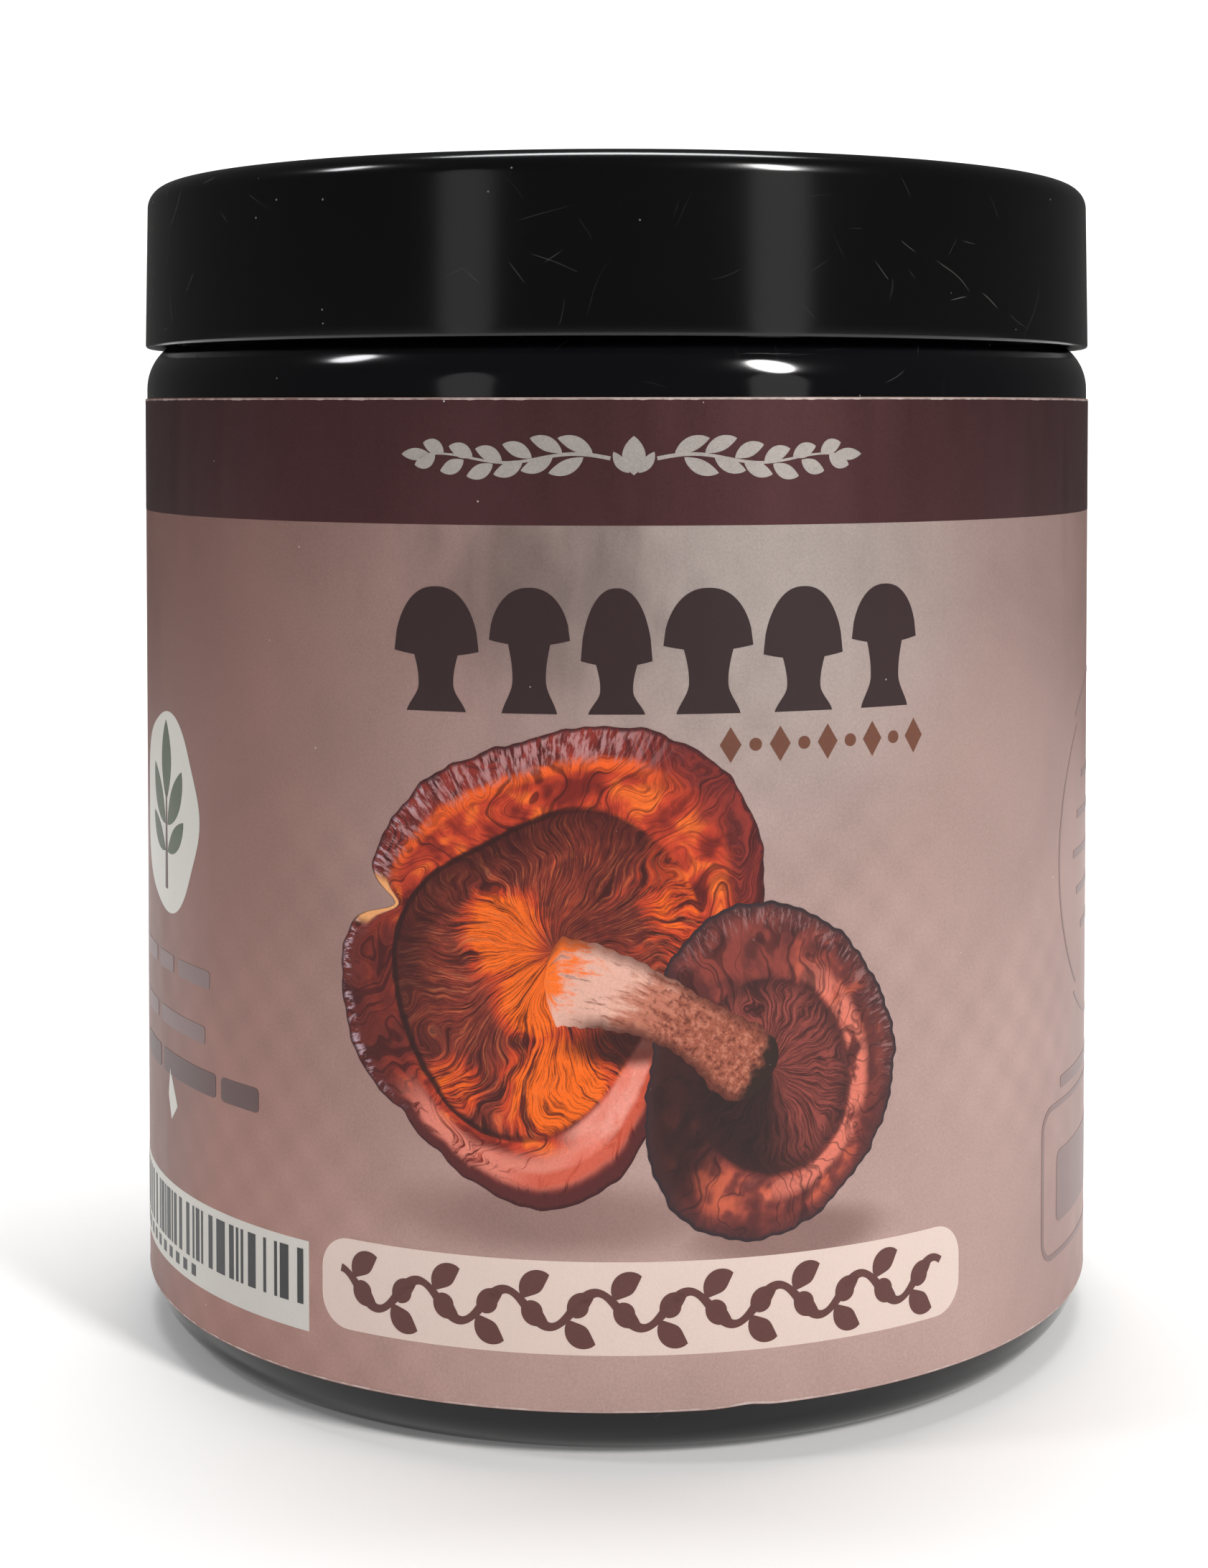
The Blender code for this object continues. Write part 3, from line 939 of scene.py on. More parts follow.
def film_surface_group():
    """Printed film: slow clouds, faint diamonds, vertical smears, a fine pebbled grain and a few
    bright specks. It works on any print colour."""
    tree, n, given, result = new_group(
        "film_surface",
        {"Colour": (0.5, 0.5, 0.5, 1.0), "Roughness": 0.4, "Clouds": 1.0, "Smears": 0.3,
         "Grain": 1.0, "Specks": 0.5},
        {"Colour": "Color", "Roughness": "Float", "Normal": "Vector"},
    )
    spot = n.spot()
    place = n.add("UVMap", uv_map="place")
    s, z, _ = n.parts(place)

    diamond_waves, diamond_depth, cloud_depth = 150.0, 0.03, 0.42
    rising = n.math("SINE", n.times(n.plus(s, z), diamond_waves))
    falling = n.math("SINE", n.times(n.minus(s, z), diamond_waves))
    where = n.ease(n.noise(place, 3.1, detail=1.0), 0.42, 0.62)
    diamonds = n.times(n.plus(rising, falling), where, diamond_depth)
    cloud = n.swing(n.noise(place, 6.5, 3.0, 0.55, 0.6), cloud_depth)
    clouds = n.times(n.plus(cloud, diamonds), given["Clouds"])

    upright = (46.0, 4.5, 1.0)
    smear = n.swing(n.noise(n.stretch(place, upright), 1.0, 3.0, 0.6), given["Smears"])
    fine = n.noise(spot, 6800.0, 2.0, 0.6)
    grain = n.swing(fine, given["Grain"])
    value = n.plus(1.0, clouds, n.times(smear, 0.35), n.times(grain, 0.42))

    speck_cells, speck_size, unspecked, speck_colour = 900.0, 0.06, 0.955, (0.85, 0.74, 0.68, 1.0)
    cells = n.cells(spot, speck_cells)
    speck = n.math("LESS_THAN", cells["Distance"], speck_size)
    lucky = n.math("GREATER_THAN", n.parts(cells["Color"])[0], unspecked)
    speck = n.times(speck, lucky, given["Specks"])
    n.feed(result["Colour"], n.mix(speck, n.brighten(given["Colour"], value), speck_colour))

    rough = n.plus(given["Roughness"], n.times(grain, 0.18), n.times(smear, 0.5))
    n.feed(result["Roughness"], rough)
    ripple = n.noise(spot, 95.0, 2.0)
    height = n.plus(n.times(fine, given["Grain"]), n.times(ripple, 7.0))
    n.feed(result["Normal"], n.add("Bump", {"Height": height, "Strength": 0.55, "Distance": 7e-6}))
    return tree


def scratch_lines(n, spot, scale, reach):
    """At most one scratch to a cell, reach metres to either side of the cell's middle: where the
    surface crosses a flat slice through that middle, which faces the cell's own random way."""
    swerve_size = 3 * MM
    line_core, line_edge = 0.008 * MM, 0.040 * MM
    swerve = n.stretch(n.noise(spot, 110.0, detail=1.0, output=1), (swerve_size,) * 3)
    bent = n.add("VectorMath", {0: spot, 1: swerve}, operation="ADD")
    cells = n.cells(bent, scale)
    away = n.add("VectorMath", {0: bent, 1: cells["Position"]}, operation="SUBTRACT")
    way = n.stretch(cells["Color"], (2.0, 2.0, 2.0), (-1.0, -1.0, -1.0))
    way = n.add("VectorMath", {0: way}, operation="NORMALIZE")
    off = n.add("VectorMath", {0: away, 1: way}, output=1, operation="DOT_PRODUCT")
    far = n.add("VectorMath", {0: away}, output=1, operation="LENGTH")
    thin = n.ease(n.math("ABSOLUTE", off), line_core, line_edge, 1.0, 0.0)
    tapered = n.ease(far, reach * 0.4, reach, 1.0, 0.0)
    depth = n.ease(n.parts(cells["Color"])[2], 0.3, 1.0)
    return n.times(thin, tapered, depth)


def plastic_wear_group():
    """Moulded plastic: slow unevenness, sparse dust, and short hairline scratches, long ones far
    apart and fine ones closer together."""
    tree, n, given, result = new_group(
        "plastic_wear",
        {"Colour": (0.01, 0.01, 0.01, 1.0), "Roughness": 0.15, "Scratches": 1.0, "Dust": 1.0,
         "Waves": 1.0},
        {"Colour": "Color", "Roughness": "Float", "Normal": "Vector"},
    )
    spot = n.spot()
    long_lines = scratch_lines(n, spot, 190.0, 2.6 * MM)
    short_lines = scratch_lines(n, spot, 430.0, 1.2 * MM)
    area = n.ease(n.noise(spot, 45.0, 2.0), 0.40, 0.62)
    scratch = n.times(n.plus(long_lines, short_lines), area, given["Scratches"])

    dust_cells, undusted, dust_colour = 620.0, 0.82, (0.42, 0.40, 0.37, 1.0)
    cells = n.cells(spot, dust_cells)
    mote = n.ease(cells["Distance"], 0.02, 0.06, 1.0, 0.0)
    lucky = n.math("GREATER_THAN", n.parts(cells["Color"])[0], undusted)
    dust = n.times(mote, lucky, given["Dust"])
    marks = n.plus(n.times(scratch, 0.16), n.times(dust, 0.50))
    n.feed(result["Colour"], n.mix(marks, given["Colour"], dust_colour))

    haze = n.noise(spot, 70.0, 3.0, 0.6)
    rough = n.plus(given["Roughness"], n.swing(haze, 0.10), n.times(scratch, 0.25))
    n.feed(result["Roughness"], n.plus(rough, n.times(dust, 0.4)))

    slow = n.noise(n.stretch(spot, (60.0, 60.0, 22.0)), 1.0, 2.0)
    height = n.times(slow, n.times(given["Waves"], 30.0))
    height = n.minus(height, n.times(scratch, 0.6))
    n.feed(result["Normal"], n.add("Bump", {"Height": height, "Strength": 0.6, "Distance": 5e-6}))
    return tree


def cap_texture_group():
    """The drawn grain of a bracket mushroom's underside, on polar coordinates: Turn is the share
    of a turn and Reach the share of the way to the edge, with the ring at RING_REACH.

    Fibres are curly lines that run outwards, and Hairs are finer ones. Cracks is 0 in narrow
    radial clefts and 1 between them. Blocks are patches between the ring and the edge, Streaks
    are short hairs at the margin, and Patches are soft clouds.
    """
    tree, n, given, result = new_group(
        "cap_texture",
        {"Turn": 0.0, "Reach": 0.0, "Seed": 0.0},
        {"Fibres": "Float", "Hairs": "Float", "Cracks": "Float", "Blocks": "Float",
         "Streaks": "Float", "Patches": "Float"},
    )
    turn = n.times(given["Turn"], TAU)
    reach = given["Reach"]
    x, y = n.math("COSINE", turn), n.math("SINE", turn)
    flat = n.vector(n.times(x, reach), n.times(y, reach), given["Seed"])

    def round_noise(x, y, across, along, detail, roughness, distortion, shift):
        """Noise on the cap: across sets how often it changes round it, along how often outwards."""
        depth = n.plus(n.times(reach, along), n.plus(given["Seed"], shift))
        spot = n.vector(n.times(x, across), n.times(y, across), depth)
        return n.noise(spot, 1.0, detail, roughness, distortion)

    n.feed(result["Patches"], n.noise(flat, 4.5, 3.0, 0.55, 0.8))
    wander = n.swing(n.noise(flat, 4.0, 1.5, 0.5), 0.75)
    bent = n.plus(turn, wander)
    bent_x, bent_y = n.math("COSINE", bent), n.math("SINE", bent)
    n.feed(result["Fibres"], round_noise(bent_x, bent_y, 20.0, 4.0, 5.0, 0.72, 0.15, 0.0))
    n.feed(result["Hairs"], round_noise(bent_x, bent_y, 62.0, 10.0, 3.0, 0.7, 0.2, 23.0))
    n.feed(result["Blocks"], round_noise(x, y, 5.0, 6.0, 2.0, 0.5, 0.2, 3.0))
    cleft = n.minus(round_noise(bent_x, bent_y, 7.5, 0.8, 1.0, 0.5, 0.0, 7.0), 0.5)
    n.feed(result["Cracks"], n.ease(n.math("ABSOLUTE", cleft), 0.004, 0.045))
    n.feed(result["Streaks"], round_noise(x, y, 38.0, 9.0, 3.0, 0.7, 0.2, 17.0))
    return tree


FILM_GROUP = film_surface_group()
WEAR_GROUP = plastic_wear_group()
CAP_GROUP = cap_texture_group()


def new_material(name):
    """A material, with short ways to its nodes, and its shader."""
    material = bpy.data.materials.new(name)
    material.use_nodes = True
    shader = material.node_tree.nodes["Principled BSDF"]
    return material, Nodes(material.node_tree), shader


def dress(n, shader, surface, gloss):
    """Feed a surface group's outputs to a shader, and set how strongly it mirrors."""
    n.feed(shader.inputs["Base Color"], surface["Colour"])
    n.feed(shader.inputs["Roughness"], surface["Roughness"])
    n.feed(shader.inputs["Normal"], surface["Normal"])
    shader.inputs["Specular IOR Level"].default_value = gloss


def film_finish(name, paint, metallic, roughness, clouds, smears, grain, specks, gloss):
    """Ink or film. paint is a colour, or a function that adds the nodes of one and returns its
    output."""
    material, n, shader = new_material(name)
    colour = paint(n) if callable(paint) else paint
    surface = n.group(FILM_GROUP, {
        "Colour": colour, "Roughness": roughness, "Clouds": clouds, "Smears": smears,
        "Grain": grain, "Specks": specks,
    })
    dress(n, shader, surface, gloss)
    shader.inputs["Metallic"].default_value = metallic
    return material


def millimetres(n):
    """The label's s and z in millimetres, from its UV map."""
    s, z, _ = n.parts(n.add("UVMap", uv_map="place"))
    scale = PLACE_UNIT / MM
    return n.times(s, scale), n.times(z, scale)


def oval(n, s, z, centre, radii):
    """Distance from a centre in radii: 0 there and 1 on the oval."""
    across = n.math("DIVIDE", n.minus(s, centre[0]), radii[0])
    up = n.math("DIVIDE", n.minus(z, centre[1]), radii[1])
    return n.math("SQRT", n.plus(n.math("POWER", across, 2.0), n.math("POWER", up, 2.0)))


def paint_film(n):
    """The film's ground: rose at the sides, darker there partly as painted shade, silver-rose in
    front, and silver about the title, partly print and partly a painted sheen, with a grey cloud
    beside it. It grows lighter downwards as painted light from below, is darker low on both sides
    as painted shade, and has soft shadows under the caps."""
    place = millimetres(n)
    s, z = place
    rose, silver_rose, silver = srgb(152, 110, 101), srgb(181, 152, 145), srgb(184, 172, 166)
    cloud_grey, shadow_brown = srgb(98, 84, 82), srgb(118, 82, 76)
    # Printed rose at the sides and silver-rose in front; the sides are also darker as painted shade
    front = n.ease(n.math("ABSOLUTE", n.minus(s, 14.0)), 12.0, 52.0, 1.0, 0.0)
    # Silver about the title: partly print, partly a painted sheen
    title_silver_and_sheen = n.ease(oval(n, *place, (10.0, 58.0), (22.0, 24.0)), 0.1, 1.0, 0.9, 0.0)
    upright = n.stretch(n.add("UVMap", uv_map="place"), (30.0, 9.0, 1.0))
    ragged = n.swing(n.noise(upright, 1.0, 3.0), 1.5)
    cloud = n.plus(oval(n, *place, (-5.0, 57.0), (12.0, 9.0)), ragged)
    colour = n.layers(
        n.mix(front, rose, silver_rose),
        (title_silver_and_sheen, silver),
        (n.ease(cloud, 0.1, 1.0, 0.55, 0.0), cloud_grey),
    )
    # Painted light from below: the colour is lighter towards the bottom and darker towards the top
    colour = n.brighten(colour, n.ease(z, -6.0, 62.0, 1.10, 0.82))
    # Painted shade low on both sides of the label
    painted_shade_low_left = n.ease(oval(n, *place, (-44.0, 18.0), (14.0, 30.0)), 0.2, 1.0, 0.74, 1.0)
    painted_shade_low_right = n.ease(oval(n, *place, (42.0, 12.0), (15.0, 24.0)), 0.2, 1.0, 0.84, 1.0)
    colour = n.brighten(colour, n.math("MINIMUM", painted_shade_low_left, painted_shade_low_right))
    under_large = n.ease(oval(n, *place, (-4.0, 16.2), (15.0, 3.4)), 0.3, 1.0, 0.55, 0.0)
    under_small = n.ease(oval(n, *place, (11.5, 14.6), (9.5, 2.6)), 0.4, 1.0, 0.65, 0.0)
    return n.mix(n.most(under_large, under_small), colour, shadow_brown)


def spot_of(n, place, centre, radii, full=0.25):
    """1 about a centre on the label, fading to 0 at an oval of the given radii."""
    return n.ease(oval(n, *place, centre, radii), full, 1.0, 1.0, 0.0)


class CapPlace:
    """Where a point lies on its cap: its turn, its reach, how far it is across the band outside
    the ring, and the cap's grain there."""

    def __init__(self, n, seed):
        self.n = n
        self.turn, self.reach, _ = n.parts(n.add("UVMap", uv_map="picture"))
        self.band = n.math("DIVIDE", n.minus(self.reach, RING_REACH), 1 - RING_REACH)
        self.grain = n.group(CAP_GROUP, {"Turn": self.turn, "Reach": self.reach, "Seed": seed})

    def facing(self, middle, inner, outer):
        """1 within inner degrees of the direction middle, and 0 beyond outer degrees of it."""
        n = self.n
        off = n.minus(n.times(self.turn, TAU), math.radians(middle))
        limits = math.cos(math.radians(outer)), math.cos(math.radians(inner))
        return n.ease(n.math("COSINE", off), *limits)

    def zone(self, start, full, fade, end):
        """A stretch of the band: 0 up to start, 1 from full to fade, and 0 from end on."""
        return self.n.between(self.band, start, full, fade, end)


def paint_large_cap(n):
    """The large cap: brown curly gills that glow orange beside the stem and below it, a dark
    ring, a lacquered red band with an orange arc, clefts and lilac hairs, and a pink lobe."""
    cap = CapPlace(n, 1.3)
    place = millimetres(n)
    fibres, hairs, streaks = cap.grain["Fibres"], cap.grain["Hairs"], cap.grain["Streaks"]
    blocks, patches = cap.grain["Blocks"], cap.grain["Patches"]

    gill_brown, gill_rust = srgb(104, 40, 34), srgb(142, 56, 42)
    ember, flame, tan_crest = srgb(206, 68, 34), srgb(252, 108, 20), srgb(176, 108, 78)
    furrow, hair_dark, hair_light = srgb(58, 20, 18), srgb(60, 22, 20), srgb(240, 128, 72)
    glow = n.most(
        spot_of(n, place, (-7.4, 34.6), (4.2, 4.4)),
        spot_of(n, place, (-5.4, 30.4), (3.6, 4.6)),
        spot_of(n, place, (-3.6, 24.4), (5.6, 6.0)),
        n.times(spot_of(n, place, (5.4, 37.0), (6.0, 7.0)), 0.62),
        n.times(spot_of(n, place, (-10.8, 24.4), (3.4, 3.0)), 0.7),
    )
    glow = n.plus(glow, n.swing(fibres, 2.0), n.swing(patches, 0.8))
    crests = n.times(n.ease(fibres, 0.55, 0.66, 0.0, 0.6), cap.facing(175, 50, 95))
    shade = n.times(n.ease(cap.reach, 0.36, 0.58, 0.0, 0.75), cap.facing(125, 60, 115))
    inside = n.layers(
        n.mix(n.ease(patches, 0.35, 0.65), gill_brown, gill_rust),
        (n.ease(glow, 0.18, 0.55), ember),
        (n.ease(glow, 0.50, 0.85), flame),
        (crests, tan_crest),
        (n.ease(fibres, 0.40, 0.49, 0.85, 0.0), furrow),
        (n.ease(hairs, 0.38, 0.50, 0.6, 0.0), hair_dark),
        (n.ease(hairs, 0.54, 0.66, 0.0, 0.35), hair_light),
        (shade, srgb(58, 20, 20)),
    )

    lacquer_dark, lacquer_red, hot_orange = srgb(124, 36, 28), srgb(204, 68, 40), srgb(246, 112, 40)
    arc_orange, left_brown = srgb(238, 96, 34), srgb(102, 42, 36)
    line_red, line_brown, cleft_black = srgb(84, 24, 22), srgb(96, 28, 24), srgb(54, 16, 18)
    lilac, pale_lilac, pink = srgb(196, 146, 146), srgb(186, 156, 166), srgb(226, 132, 114)
    margin_maroon, bitten_wood = srgb(88, 38, 38), srgb(238, 168, 110)
    hot = n.times(n.ease(blocks, 0.52, 0.66), n.ease(cap.band, 0.35, 0.6, 1.0, 0.0))
    dull = n.plus(cap.band, n.swing(blocks, 0.7))
    dull_red = n.mix(n.ease(fibres, 0.4, 0.6), srgb(84, 32, 32), srgb(142, 50, 42))
    orange_arc = n.times(cap.zone(0.42, 0.52, 0.57, 0.68), cap.facing(108, 34, 62))
    top_hairs = n.times(cap.zone(0.50, 0.72, 0.93, 1.0), cap.facing(118, 38, 64))
    top_hairs = n.times(top_hairs, n.ease(streaks, 0.44, 0.60), 0.72)
    flecks = n.times(cap.zone(0.78, 0.9, 0.97, 1.0), cap.facing(190, 45, 75))
    flecks = n.times(flecks, n.ease(streaks, 0.50, 0.60))
    low = n.times(cap.facing(262, 26, 44), cap.zone(0.12, 0.40, 0.60, 0.82))
    uneven_band = n.plus(cap.band, n.swing(fibres, 0.2))
    outside = n.layers(
        n.mix(n.ease(blocks, 0.34, 0.56), lacquer_dark, lacquer_red),
        (hot, hot_orange),
        (n.ease(dull, 0.44, 0.78), dull_red),
        (orange_arc, arc_orange),
        (n.times(cap.facing(196, 14, 36), 0.75), left_brown),
        (n.ease(fibres, 0.38, 0.52, 0.5, 0.0), line_red),
        (n.ease(hairs, 0.36, 0.52, 0.45, 0.0), line_brown),
        (n.ease(cap.grain["Cracks"], 0.0, 1.0, 0.7, 0.0), cleft_black),
        (top_hairs, lilac),
        (flecks, pale_lilac),
        (n.times(low, n.ease(fibres, 0.36, 0.5)), pink),
        (n.times(cap.facing(282, 50, 75), n.ease(uneven_band, 0.68, 0.86)), margin_maroon),
        (n.times(cap.facing(167.5, 5.5, 8.5), n.ease(cap.band, 0.60, 0.70)), bitten_wood),
    )

    soft = n.plus(cap.reach, n.swing(patches, 0.05))
    rim = n.times(cap.facing(298, 30, 44), cap.zone(0.44, 0.54, 0.64, 0.76))
    lobe = n.times(cap.facing(301, 20, 32), cap.zone(-0.02, 0.10, 0.44, 0.56))
    lobe_tone = n.mix(n.ease(patches, 0.3, 0.6), srgb(228, 112, 92), srgb(238, 154, 138))
    ring = n.math("ABSOLUTE", n.minus(soft, RING_REACH))
    line = n.times(n.ease(ring, 0.004, 0.024, 0.92, 0.0), cap.facing(170, 75, 118))
    under_stem = spot_of(n, place, (0.6, 27.4), (5.4, 1.7), 0.4)
    ragged = n.plus(cap.reach, n.swing(streaks, 0.05))
    rim_red, ring_black, stem_shadow, edge_dark = (
        srgb(206, 84, 58), srgb(44, 18, 18), srgb(44, 20, 18), srgb(60, 28, 32),
    )
    return n.layers(
        n.mix(n.ease(soft, RING_REACH - 0.012, RING_REACH + 0.012), inside, outside),
        (n.times(rim, 0.8), rim_red),
        (n.times(lobe, 0.95), lobe_tone),
        (line, ring_black),
        (n.times(under_stem, 0.85), stem_shadow),
        (n.ease(ragged, 0.975, 0.995, 0.0, 0.85), edge_dark),
    )


def paint_small_cap(n):
    """The small cap: dark maroon gills, nearly black at the lower left, a duller red band with
    a bright crescent along its right, clefts below, and a blue-black ragged edge."""
    cap = CapPlace(n, 6.1)
    fibres, streaks = cap.grain["Fibres"], cap.grain["Streaks"]
    blocks, patches = cap.grain["Blocks"], cap.grain["Patches"]

    gill_dark, gill_maroon, hair_dark = srgb(70, 34, 32), srgb(150, 72, 64), srgb(54, 28, 28)
    hollow_black, ring_dark = srgb(36, 26, 26), srgb(58, 32, 32)
    inside = n.layers(
        n.mix(n.ease(fibres, 0.38, 0.60), gill_dark, gill_maroon),
        (n.ease(cap.grain["Hairs"], 0.40, 0.52, 0.6, 0.0), hair_dark),
        (n.times(cap.facing(218, 35, 92), 0.92), hollow_black),
        (n.ease(cap.reach, 0.46, 0.60, 0.0, 0.7), ring_dark),
    )

    band_dark, band_red, lit_red = srgb(92, 44, 42), srgb(136, 62, 54), srgb(202, 96, 70)
    right_maroon, crescent_pink = srgb(84, 42, 40), srgb(226, 124, 104)
    cleft_black, left_black = srgb(46, 24, 26), srgb(44, 28, 28)
    margin_maroon, lilac = srgb(68, 42, 44), srgb(166, 124, 122)
    lit = n.times(n.ease(blocks, 0.50, 0.66), cap.zone(0.0, 0.15, 0.55, 0.85))
    lit = n.times(lit, n.plus(cap.facing(262, 34, 70), cap.facing(40, 22, 46)))
    crescent = n.times(cap.zone(0.02, 0.12, 0.30, 0.50), cap.facing(-14, 55, 95))
    crescent = n.times(crescent, n.ease(patches, 0.32, 0.5), 0.9)
    uneven_band = n.plus(cap.band, n.swing(fibres, 0.3))
    top_hairs = n.times(cap.zone(0.55, 0.8, 0.93, 1.0), cap.facing(60, 50, 80))
    top_hairs = n.times(top_hairs, n.ease(streaks, 0.50, 0.62), 0.5)
    outside = n.layers(
        n.mix(n.ease(blocks, 0.36, 0.60), band_dark, band_red),
        (lit, lit_red),
        (n.times(cap.facing(5, 22, 50), 0.5), right_maroon),
        (crescent, crescent_pink),
        (n.ease(cap.grain["Cracks"], 0.0, 1.0, 0.6, 0.0), cleft_black),
        (n.times(cap.facing(190, 30, 60), 0.9), left_black),
        (n.ease(uneven_band, 0.66, 0.98, 0.0, 0.8), margin_maroon),
        (top_hairs, lilac),
    )

    soft = n.plus(cap.reach, n.swing(patches, 0.05))
    painted = n.mix(n.ease(soft, RING_REACH - 0.02, RING_REACH + 0.02), inside, outside)
    ragged = n.plus(cap.reach, n.swing(streaks, 0.05))
    return n.mix(n.ease(ragged, 0.97, 0.99, 0.0, 0.9), painted, srgb(48, 38, 44))


def paint_stem(n):
    """The stem from its orange root through pale wood to a rusty, grainy foot with a dark hollow
    end, streaked along its length and shaded on both sides."""
    along, across, _ = n.parts(n.add("UVMap", uv_map="picture"))
    spot = n.spot()
    streak = n.noise(n.vector(n.times(along, 6.0), n.times(across, 10.0)), 1.0, 4.0, 0.65)
    grit = n.noise(spot, 2600.0, 3.0, 0.7)
    blotch = n.noise(spot, 700.0, 2.0, 0.6)
    wood = n.plus(along, n.plus(n.swing(streak, 0.55), n.swing(blotch, 0.25)))
    wood = n.minus(wood, n.swing(across, 0.16))
    light_grit = n.times(n.ease(grit, 0.52, 0.62), n.ease(along, 0.3, 0.6, 0.0, 0.6))
    dark_grit = n.times(n.ease(grit, 0.38, 0.46, 1.0, 0.0), n.ease(along, 0.3, 0.6, 0.0, 0.7))
    upper = n.ease(across, 0.80, 1.0, 0.0, 0.7)
    lower = n.times(n.ease(across, 0.0, 0.24, 0.85, 0.0), n.ease(along, 0.05, 0.3))
    end = n.plus(along, n.plus(n.swing(blotch, 0.10), n.times(across, 0.06)))
    root_orange, pale_wood, tan_wood = srgb(250, 116, 36), srgb(230, 178, 160), srgb(190, 118, 96)
    rust, streak_brown, grit_light = srgb(160, 88, 68), srgb(112, 56, 46), srgb(204, 132, 108)
    grit_dark, side_brown, hollow_brown = srgb(92, 44, 36), srgb(78, 38, 32), srgb(50, 34, 30)
    return n.layers(
        n.mix(n.ease(wood, 0.03, 0.16), root_orange, pale_wood),
        (n.ease(wood, 0.30, 0.46), tan_wood),
        (n.ease(wood, 0.46, 0.66), rust),
        (n.ease(streak, 0.54, 0.66, 0.0, 0.55), streak_brown),
        (light_grit, grit_light),
        (dark_grit, grit_dark),
        (n.most(upper, lower), side_brown),
        (n.ease(end, 0.955, 0.99), hollow_brown),
    )


def plastic_finish(name, colour, roughness, scratches, dust, waves):
    """Glossy black plastic with its wear."""
    material, n, shader = new_material(name)
    wear = n.group(WEAR_GROUP, {
        "Colour": colour, "Roughness": roughness, "Scratches": scratches, "Dust": dust,
        "Waves": waves,
    })
    dress(n, shader, wear, 0.5)
    return material


def foam_finish():
    """White closed-cell foam: small round cells pressed flat, with a slightly yellowed cast."""
    material, n, shader = new_material("white_liner_foam")
    spot = n.spot()
    cells = n.cells(spot, 1900.0)["Distance"]
    cloud = n.noise(spot, 130.0, 2.0)
    colour = n.mix(cloud, srgb(236, 233, 224), srgb(222, 216, 202))
    n.feed(shader.inputs["Base Color"], n.brighten(colour, n.ease(cells, 0.1, 0.8, 0.93, 1.03)))
    n.feed(shader.inputs["Roughness"], n.ease(cloud, 0.3, 0.7, 0.5, 0.62))
    bump = n.add("Bump", {"Height": cells, "Strength": 0.5, "Distance": 4e-5})
    n.feed(shader.inputs["Normal"], bump)
    return material


# ---------------------------------------------------------------- stage


SWEEP_HALF_WIDTH = 2.2
FLOOR_FRONT, FLOOR_BACK = -1.6, 0.25
BEND_RADIUS = 0.30
WALL_TOP = 1.8

# Lamps on the object: azimuth from the camera's side, positive to the viewer's right, and elevation
# in degrees; distance from the object's middle; width, height, power in watts, and colour
LAMPS = {
    "key_right": (39, 34, 0.75, 0.12, 0.30, 3.6, (1.0, 0.985, 0.97)),
    "fill_left": (-76, 42, 0.75, 0.10, 0.16, 0.85, (0.98, 0.97, 1.0)),
    "sheen_right": (37, 7, 0.9, 0.22, 0.50, 0.20, (1.0, 0.99, 0.98)),
    "sheen_left": (-34, 8, 0.9, 0.20, 0.50, 0.16, (0.98, 0.98, 1.0)),
}

CAMERA_LENS = 57.33  # millimetres, for a sensor 36 mm wide
CAMERA_SHIFT = (-0.0081, -0.185)
CAMERA_BACK, CAMERA_UP = 5.3848 * OUTER_RADIUS, 1.8727 * OUTER_RADIUS
CAMERA_TILT = 1.8147  # degrees below level


def paper_finish():
    """Pale paper that glows faintly, so that its shadows stay light."""
    material, n, shader = new_material("pale_paper")
    tone = n.noise(n.spot(), 9.0, 2.0)
    n.feed(shader.inputs["Base Color"], n.mix(tone, srgb(247, 247, 246), srgb(243, 243, 242)))
    shader.inputs["Roughness"].default_value = 0.8
    shader.inputs["Specular IOR Level"].default_value = 0.1
    shader.inputs["Emission Color"].default_value = (1.0, 1.0, 1.0, 1.0)
    shader.inputs["Emission Strength"].default_value = 0.12
    return material


def build_sweep_piece(name, profile, material):
    """A sheet of the sweep: a (y, z) profile drawn out to both sides."""
    x = np.linspace(-SWEEP_HALF_WIDTH, SWEEP_HALF_WIDTH, 3)
    points = np.stack([
        np.repeat(x[None, :], len(profile), axis=0),
        np.repeat(profile[:, :1], 3, axis=1),
        np.repeat(profile[:, 1:], 3, axis=1),
    ], axis=-1)
    mesh = bpy.data.meshes.new(name)
    mesh.from_pydata(points.reshape(-1, 3).tolist(), [], grid_quads(len(profile), 3).tolist())
    mesh.shade_smooth()
    mesh.materials.append(material)
    sheet = in_scene(name, mesh)
    return sheet


def build_stage():
    """A pale sweep: a floor, and a wall that rises from it in a wide bend. The wall isn't seen
    in gloss, so that dark plastic shows the lamps and the floor instead of a white room."""
    paper = paper_finish()
    build_sweep_piece("pale_floor", np.array([(FLOOR_FRONT, 0.0), (FLOOR_BACK, 0.0)]), paper)
    bend = arc((FLOOR_BACK, BEND_RADIUS), (BEND_RADIUS, BEND_RADIUS), -90, 0, 24)
    top = np.array([(FLOOR_BACK + BEND_RADIUS, WALL_TOP)])
    wall = build_sweep_piece("pale_wall", np.concatenate([bend, top]), paper)
    wall.visible_glossy = False


def add_lamp(name, width, height, power, colour):
    """A soft oval lamp."""
    data = bpy.data.lights.new(name, "AREA")
    data.shape = "ELLIPSE"
    data.size = width
    data.size_y = height
    data.energy = power
    data.color = colour
    return in_scene(name, data)


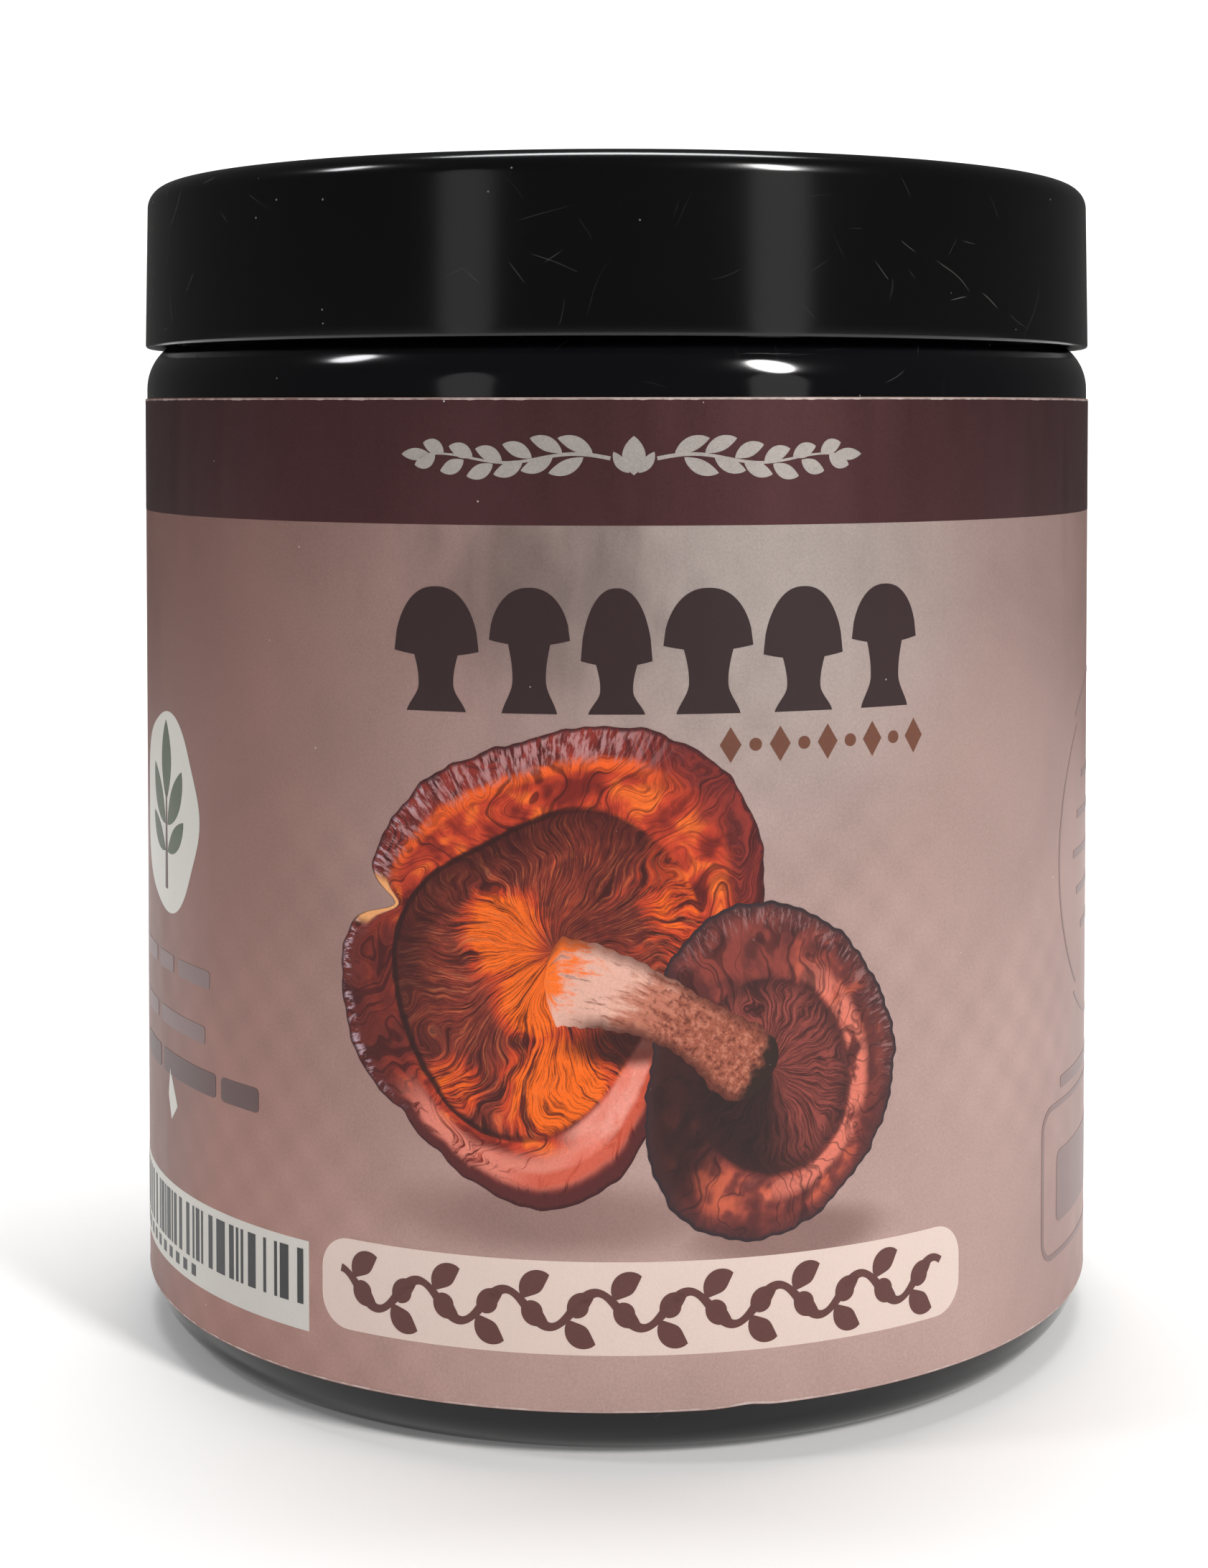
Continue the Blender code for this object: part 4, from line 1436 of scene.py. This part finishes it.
def build_light():
    """The lamps on the object, one over its back that washes the wall, and a dim studio."""
    for name, (azimuth, elevation, distance, *light) in LAMPS.items():
        lamp = add_lamp(name, *light)
        a, e = math.radians(azimuth), math.radians(elevation)
        away = Vector((math.sin(a) * math.cos(e), -math.cos(a) * math.cos(e), math.sin(e)))
        lamp.location = Vector((0, 0, HEIGHT / 2)) + away * distance
        lamp.rotation_euler = away.to_track_quat("Z", "Y").to_euler()
    wash = add_lamp("wall_wash", width=0.5, height=0.25, power=4.6, colour=(0.97, 0.985, 1.0))
    wash.location = (0.0, 0.10, 0.72)
    wash.rotation_euler = (math.radians(44), 0.0, 0.0)
    world = bpy.data.worlds.new("studio")
    world.use_nodes = True
    background = world.node_tree.nodes["Background"]
    background.inputs["Color"].default_value = (1.0, 0.985, 0.97, 1.0)
    background.inputs["Strength"].default_value = 0.08
    bpy.context.scene.world = world


def build_camera():
    """The camera stands a little below the lid's height, close in front, looking slightly down."""
    data = bpy.data.cameras.new("camera")
    data.sensor_width = 36.0
    data.lens = CAMERA_LENS
    data.shift_x, data.shift_y = CAMERA_SHIFT
    data.clip_start = 0.01
    camera = in_scene("camera", data)
    camera.location = (0.0, -CAMERA_BACK, CAMERA_UP)
    camera.rotation_euler = (math.radians(90 - CAMERA_TILT), 0.0, 0.0)
    bpy.context.scene.camera = camera


# Film and inks: colour, metallic, roughness, the strength of clouds, smears, grain and specks, and
# gloss
LABEL_FINISHES = {
    "rose_silver_film": (paint_film, 0.38, 0.44, 1.0, 0.30, 1.0, 0.5, 0.35),
    "maroon_band_ink": (srgb(87, 56, 58), 0.80, 0.38, 0.5, 0.35, 0.8, 0.8, 0.3),
    "silver_ink": (srgb(178, 170, 164), 0.5, 0.38, 0.4, 0.3, 1.2, 0.8, 0.5),
    "cut_edge_silver": (srgb(206, 188, 182), 0.5, 0.36, 0.3, 0.3, 1.2, 0.8, 0.5),
    "dark_title_ink": (srgb(50, 32, 34), 0.0, 0.42, 0.2, 0.2, 0.9, 0.4, 0.3),
    "brown_ink": (srgb(108, 66, 50), 0.0, 0.42, 0.3, 0.1, 1.0, 0.1, 0.3),
    "vine_ink": (srgb(98, 60, 56), 0.0, 0.42, 0.3, 0.1, 0.8, 0.1, 0.3),
    "cream_ink": (srgb(226, 204, 194), 0.0, 0.40, 0.15, 0.1, 0.35, 0.1, 0.5),
    "code_white_ink": (srgb(216, 212, 204), 0.0, 0.42, 0.1, 0.1, 0.3, 0.0, 0.5),
    "code_black_ink": (srgb(44, 43, 47), 0.0, 0.40, 0.2, 0.1, 0.5, 0.0, 0.5),
    "leaf_green_ink": (srgb(72, 84, 58), 0.0, 0.42, 0.8, 0.2, 1.0, 0.0, 0.5),
    "fine_dark_ink": (srgb(92, 64, 62), 0.05, 0.42, 0.2, 0.1, 0.8, 0.0, 0.5),
    "seal_ink": (srgb(128, 102, 100), 0.05, 0.42, 0.2, 0.1, 0.8, 0.0, 0.5),
    "large_cap_print": (paint_large_cap, 0.0, 0.42, 0.0, 0.1, 0.9, 0.1, 0.25),
    "small_cap_print": (paint_small_cap, 0.0, 0.42, 0.0, 0.1, 0.9, 0.1, 0.25),
    "stem_print": (paint_stem, 0.0, 0.42, 0.0, 0.1, 0.9, 0.1, 0.25),
}


def build_label():
    """The film and all its layers of ink, each with its own finish."""
    made = {name: film_finish(name, *values) for name, values in LABEL_FINISHES.items()}
    cream, dark, seal = made["cream_ink"], made["fine_dark_ink"], made["seal_ink"]
    white = made["code_white_ink"]
    build_film(made["rose_silver_film"])
    build_band(made["maroon_band_ink"])
    build_cut_edges(made["cut_edge_silver"])
    build_garland(made["silver_ink"])
    build_title(made["dark_title_ink"])
    build_subtitle(made["brown_ink"])
    build_caps(made["large_cap_print"], made["small_cap_print"])
    build_stem(made["stem_print"])
    build_pill(cream, made["vine_ink"])
    build_code_panel(white, made["code_black_ink"])
    build_sprig(white, made["leaf_green_ink"], dark)
    build_small_rows(seal, dark, white)
    build_seal(seal)
    build_back_panel(cream, dark)
    build_paragraphs(dark)


def main():
    """Camera, stage and light, then the jar, its lid, its liner and its label."""
    build_camera()
    build_stage()
    build_light()
    bpy.context.scene.view_settings.view_transform = "Standard"
    # The jar's black leans slightly blue, a painted tint for the violet floor reflection on its heel
    build_jar(plastic_finish(
        "black_jar_plastic", srgb(8, 8, 11), roughness=0.10, scratches=0.6, dust=0.6, waves=1.0,
    ))
    build_lid(plastic_finish(
        "black_lid_plastic", srgb(6, 6, 7), roughness=0.16, scratches=1.0, dust=1.0, waves=0.7,
    ))
    build_liner(foam_finish())
    build_label()


main()
